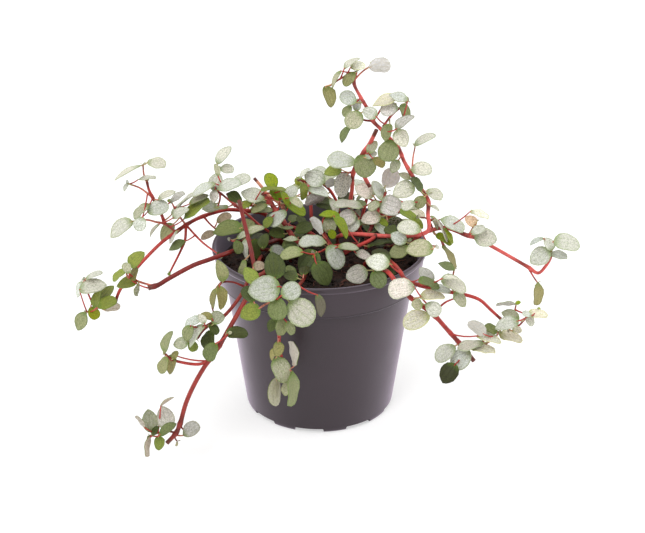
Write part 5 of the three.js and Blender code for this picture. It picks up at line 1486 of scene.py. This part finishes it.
# ---- Stems and stalks ---------------------------------------------------------------
# The stems are thin, smooth and juicy, crimson where light falls on them and brown
# near the soil. Short orange-pink stalks carry the leaves from slightly thicker nodes.

STEPS = 6  # along each span of a stem
STEM_SIDES = 8
SLIM = 0.93  # a round stem is a little thinner than the flat-sided solid
TAPER = 0.3
KNOT_SWELLING = 0.2
FOOT_KNOT = 0.9  # how far along the stem a stalk's foot thickens it
FORK_KNOT = 1.3
FORK_TO_FOOT = 1.6  # how much more a side stem thickens it
KNOT_SHADE = 0.5
KNOT_SHADE_MOST = 0.7
STEM_TONES = {
    "crimson": (174, 60, 54),
    "salmon": (210, 92, 86),
    "rose": (196, 112, 92),
    "peach": (222, 150, 122),
    "garnet": (140, 50, 43),
    "brick": (118, 36, 31),
    # Painted shade where wine colours a whole stem, as on the low one in the middle; it also
    # darkens stems near the root and at their knots.
    "wine": (92, 34, 28),
}
CUT_TONE = (108, 56, 46)
ROOT_SHADE = 12  # how far the brown reaches along a stem from its root

STALK_STEPS = 5
STALK_SIDES = 6
STALK_RADIUS = 0.3
STALK_FOOT = 1.15  # of that radius, where the stalk leaves its stem
STALK_TAPER = 0.25
STALK_TIP = 0.5
STALK_SAG = 0.06  # of its length, at its middle
STALK_IN_BLADE = 0.1  # of the blade's length
STALK_UNDER_BLADE = 0.6  # of the blade's thickness
LONG_STALK = 5  # stalks longer than this are as red as a stem
STALK_TONES = ((196, 150, 112), (190, 118, 98), (172, 152, 106), (160, 152, 100))
STALK_TONE_FROM = 0.35  # how much of its own tone a stalk has at its foot
STALK_TONE_STEP = 0.25

YOUNG_LENGTHS = (1.3, 2.4)
YOUNG_TONES = ("pale", "sage", "lime", "silver", "green", "pale")
YOUNG_FORWARD = (0.5, 1)  # how far one leans toward the stem's tip
YOUNG_RAISE = 0.2
YOUNG_TILT = 0.2  # how far its face turns out
YOUNG_STALK = 0.1
YOUNG_SIDE = UP + RIGHT * 0.1  # never along a stem, so the pair can stand square to both

stem_skin, shader, node = material("stem_skin", 0.4, specular=0.35)
patches = noise(node, object_place(node), 420, 3, 0.6)
shade = between(node, patches, 0.25, 0.75, 0.75, 1.2)
paint(shader, "Base Color", shaded(node, attribute(node, "tone"), shade))
bump(node, shader, patches, 0.0002, 0.4)


def spline_of(points):
    """Places along the smooth curve through a stem's points, STEPS to a span."""
    ends = [2 * points[0] - points[1], *points, 2 * points[-1] - points[-2]]
    places = []
    for before, start, end, after in zip(ends, ends[1:], ends[2:], ends[3:]):
        first, span, last = start - before, end - start, after - end
        first_gap, gap, last_gap = (np.linalg.norm(run) ** 0.5 for run in (first, span, last))
        leave = first / first_gap - (end - before) / (first_gap + gap) + span / gap
        reach = span / gap - (after - start) / (gap + last_gap) + last / last_gap
        for step in range(STEPS):
            t = step / STEPS
            rise = 3 * t**2 - 2 * t**3
            swing = leave * (t**3 - 2 * t**2 + t) + reach * (t**3 - t**2)
            places.append(start * (1 - rise) + end * rise + swing * gap)
    return [*places, points[-1]]


def blend(first, second, share):
    return tuple(a + (b - a) * share for a, b in zip(first, second))


def rod(name, run, sides, colours):
    """A tube with a colour for each ring, and the last one's also on its end."""
    thing = tube(name, [run], sides)
    rings = [min(index // sides, len(colours) - 1) for index in range(len(thing.data.vertices))]
    dye(thing, "tone", [linear(*colours[ring]) for ring in rings])
    thing.data.materials.append(stem_skin)
    only(thing)
    bpy.ops.object.shade_smooth()
    return thing


def swelling(where, spots, reach):
    """From 0 far from all the spots to 1 on one of them."""
    nearest = min((np.linalg.norm(where - spot) for spot in spots), default=math.inf)
    return math.exp(-((nearest / reach) ** 2))


def grown_stem(line, feet, forks):
    """One stem: thicker where stalks and side stems leave it, thinner to its tip."""
    places = spline_of(line["points"])
    count = len(places) - 1
    run = []
    colours = []
    travelled = 0
    for step, where in enumerate(places):
        travelled += np.linalg.norm(where - places[max(step - 1, 0)])
        fork_knot = FORK_TO_FOOT * swelling(where, forks, FORK_KNOT)
        knot = max(swelling(where, feet, FOOT_KNOT), fork_knot)
        radius = line["width"] / 2 * SLIM * (1 + KNOT_SWELLING * knot)
        if not line["cut"]:
            radius *= 1 - TAPER * (step / count) ** 2
        run.append((to_world(where), radius * MM))
        shown = STEM_TONES[line["tone"]]
        if line["rooted"]:
            from_root = min(1, travelled / (ROOT_DEPTH + ROOT_SHADE))
            shown = blend(STEM_TONES["wine"], shown, from_root)
        shown = blend(shown, STEM_TONES["wine"], min(KNOT_SHADE_MOST, KNOT_SHADE * knot))
        colours.append(CUT_TONE if line["cut"] and step == count else shown)
    return rod("stem", run, STEM_SIDES, colours)


def grown_stalk(leaf):
    """A leaf's stalk sags a little and runs into the underside of the blade."""
    start, end = leaf["foot"], leaf["base"]
    length = np.linalg.norm(end - start)
    run = []
    for step in range(STALK_STEPS):
        share = step / (STALK_STEPS - 1)
        sag = UP * -STALK_SAG * length * 4 * share * (1 - share)
        radius = STALK_RADIUS * (STALK_FOOT - STALK_TAPER * share)
        run.append((to_world(start + (end - start) * share + sag), radius * MM))
    under = leaf["normal"] * BLADE_THICKNESS * leaf["length"] * STALK_UNDER_BLADE
    tip = end + leaf["along"] * leaf["length"] * STALK_IN_BLADE - under
    run.append((to_world(tip), STALK_RADIUS * STALK_TIP * MM))
    red = STEM_TONES["crimson"]
    tone = red if length > LONG_STALK else leaf_random.choice(STALK_TONES)
    shares = [min(1, STALK_TONE_FROM + step * STALK_TONE_STEP) for step in range(len(run))]
    colours = [blend(red, tone, share) for share in shares]
    return rod("stalk", run, STALK_SIDES, colours)


def young_leaves(line):
    """A pair of tiny new leaves at a growing tip, facing each other."""
    tip, before = line["points"][-1], line["points"][-2]
    ahead = unit(tip - before)
    side = unit(np.cross(ahead, YOUNG_SIDE))
    turn = leaf_random.uniform(0, math.pi)
    spread = side * math.cos(turn) + np.cross(side, ahead) * math.sin(turn)
    pair = []
    for way in (1, -1):
        along = unit(ahead * leaf_random.uniform(*YOUNG_FORWARD) + spread * way + UP * YOUNG_RAISE)
        size = leaf_random.uniform(*YOUNG_LENGTHS)
        upper = ahead - spread * way * YOUNG_TILT
        base = tip + ahead * YOUNG_STALK
        pair.append(blade(base, along, upper, size, leaf_random.choice(YOUNG_TONES)))
    return pair


for name, lines in lines_of.items():
    own = [leaf for leaf in placed if leaf["sprig"] == name]
    feet = [leaf["foot"] for leaf in own]
    forks = [line["points"][0] for line in lines if not line["rooted"]]
    parts = [grown_stem(line, feet, forks) for line in lines]
    parts += [grown_stalk(leaf) for leaf in own]
    parts += [grown_blade(leaf) for leaf in own]
    parts += [grown_blade(leaf) for line in lines if not line["cut"] for leaf in young_leaves(line)]
    sprig = joined(parts, "silver_stem_" + name)
    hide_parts("leafy_stem_" + name)
    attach(sprig, "root")

for master in masters:
    bpy.data.objects.remove(master)


# ---- Table top and light ----------------------------------------------------------
# The pot stands on a plain white table top under soft studio light.

TABLE_SIZE = 20
TABLE_DROP = 0.2 * MM  # the top lies this far under the pot's foot
TABLE_GREY = (0.6, 0.6, 0.6, 1)
# Painted light: the top glows a little, which keeps it white and fills in the pot's shadow.
TABLE_GLOW = 0.48
WHITE = (1, 1, 1, 1)
SKY_STRENGTH = 0.9

start_fresh()
bpy.ops.mesh.primitive_plane_add(size=TABLE_SIZE, location=(0, 0, -TABLE_DROP))
table_top = added("table_top")
white, shader, node = material("white_table", 0.85, specular=0.1)
shader.inputs["Base Color"].default_value = TABLE_GREY
shader.inputs["Emission Color"].default_value = WHITE
shader.inputs["Emission Strength"].default_value = TABLE_GLOW
table_top.data.materials.append(white)

world = bpy.data.worlds.new("studio")
bpy.context.scene.world = world
world.use_nodes = True
sky = world.node_tree.nodes["Background"]
sky.inputs["Color"].default_value = WHITE
sky.inputs["Strength"].default_value = SKY_STRENGTH


def soft_light(name, place, size, power):
    """A square light that faces the pot's rim."""
    bpy.ops.object.light_add(type="AREA", location=place)
    lamp = added(name)
    lamp.data.shape = "SQUARE"
    lamp.data.size = size
    lamp.data.energy = power
    aim = Vector((POT_X, POT_Y, POT_HEIGHT)) - Vector(place)
    lamp.rotation_mode = "QUATERNION"
    lamp.rotation_quaternion = aim.to_track_quat("-Z", "Y")


soft_light("key_light", (-0.35, -0.75, 0.95), size=0.5, power=5)
soft_light("top_light", (0.1, 0.3, 1.1), size=0.6, power=1.5)
soft_light("right_light", (1.0, 0.15, 0.35), size=0.7, power=4)
soft_light("left_light", (-1.0, 0.1, 0.35), size=0.7, power=1.6)
bpy.context.scene.view_settings.view_transform = "Standard"
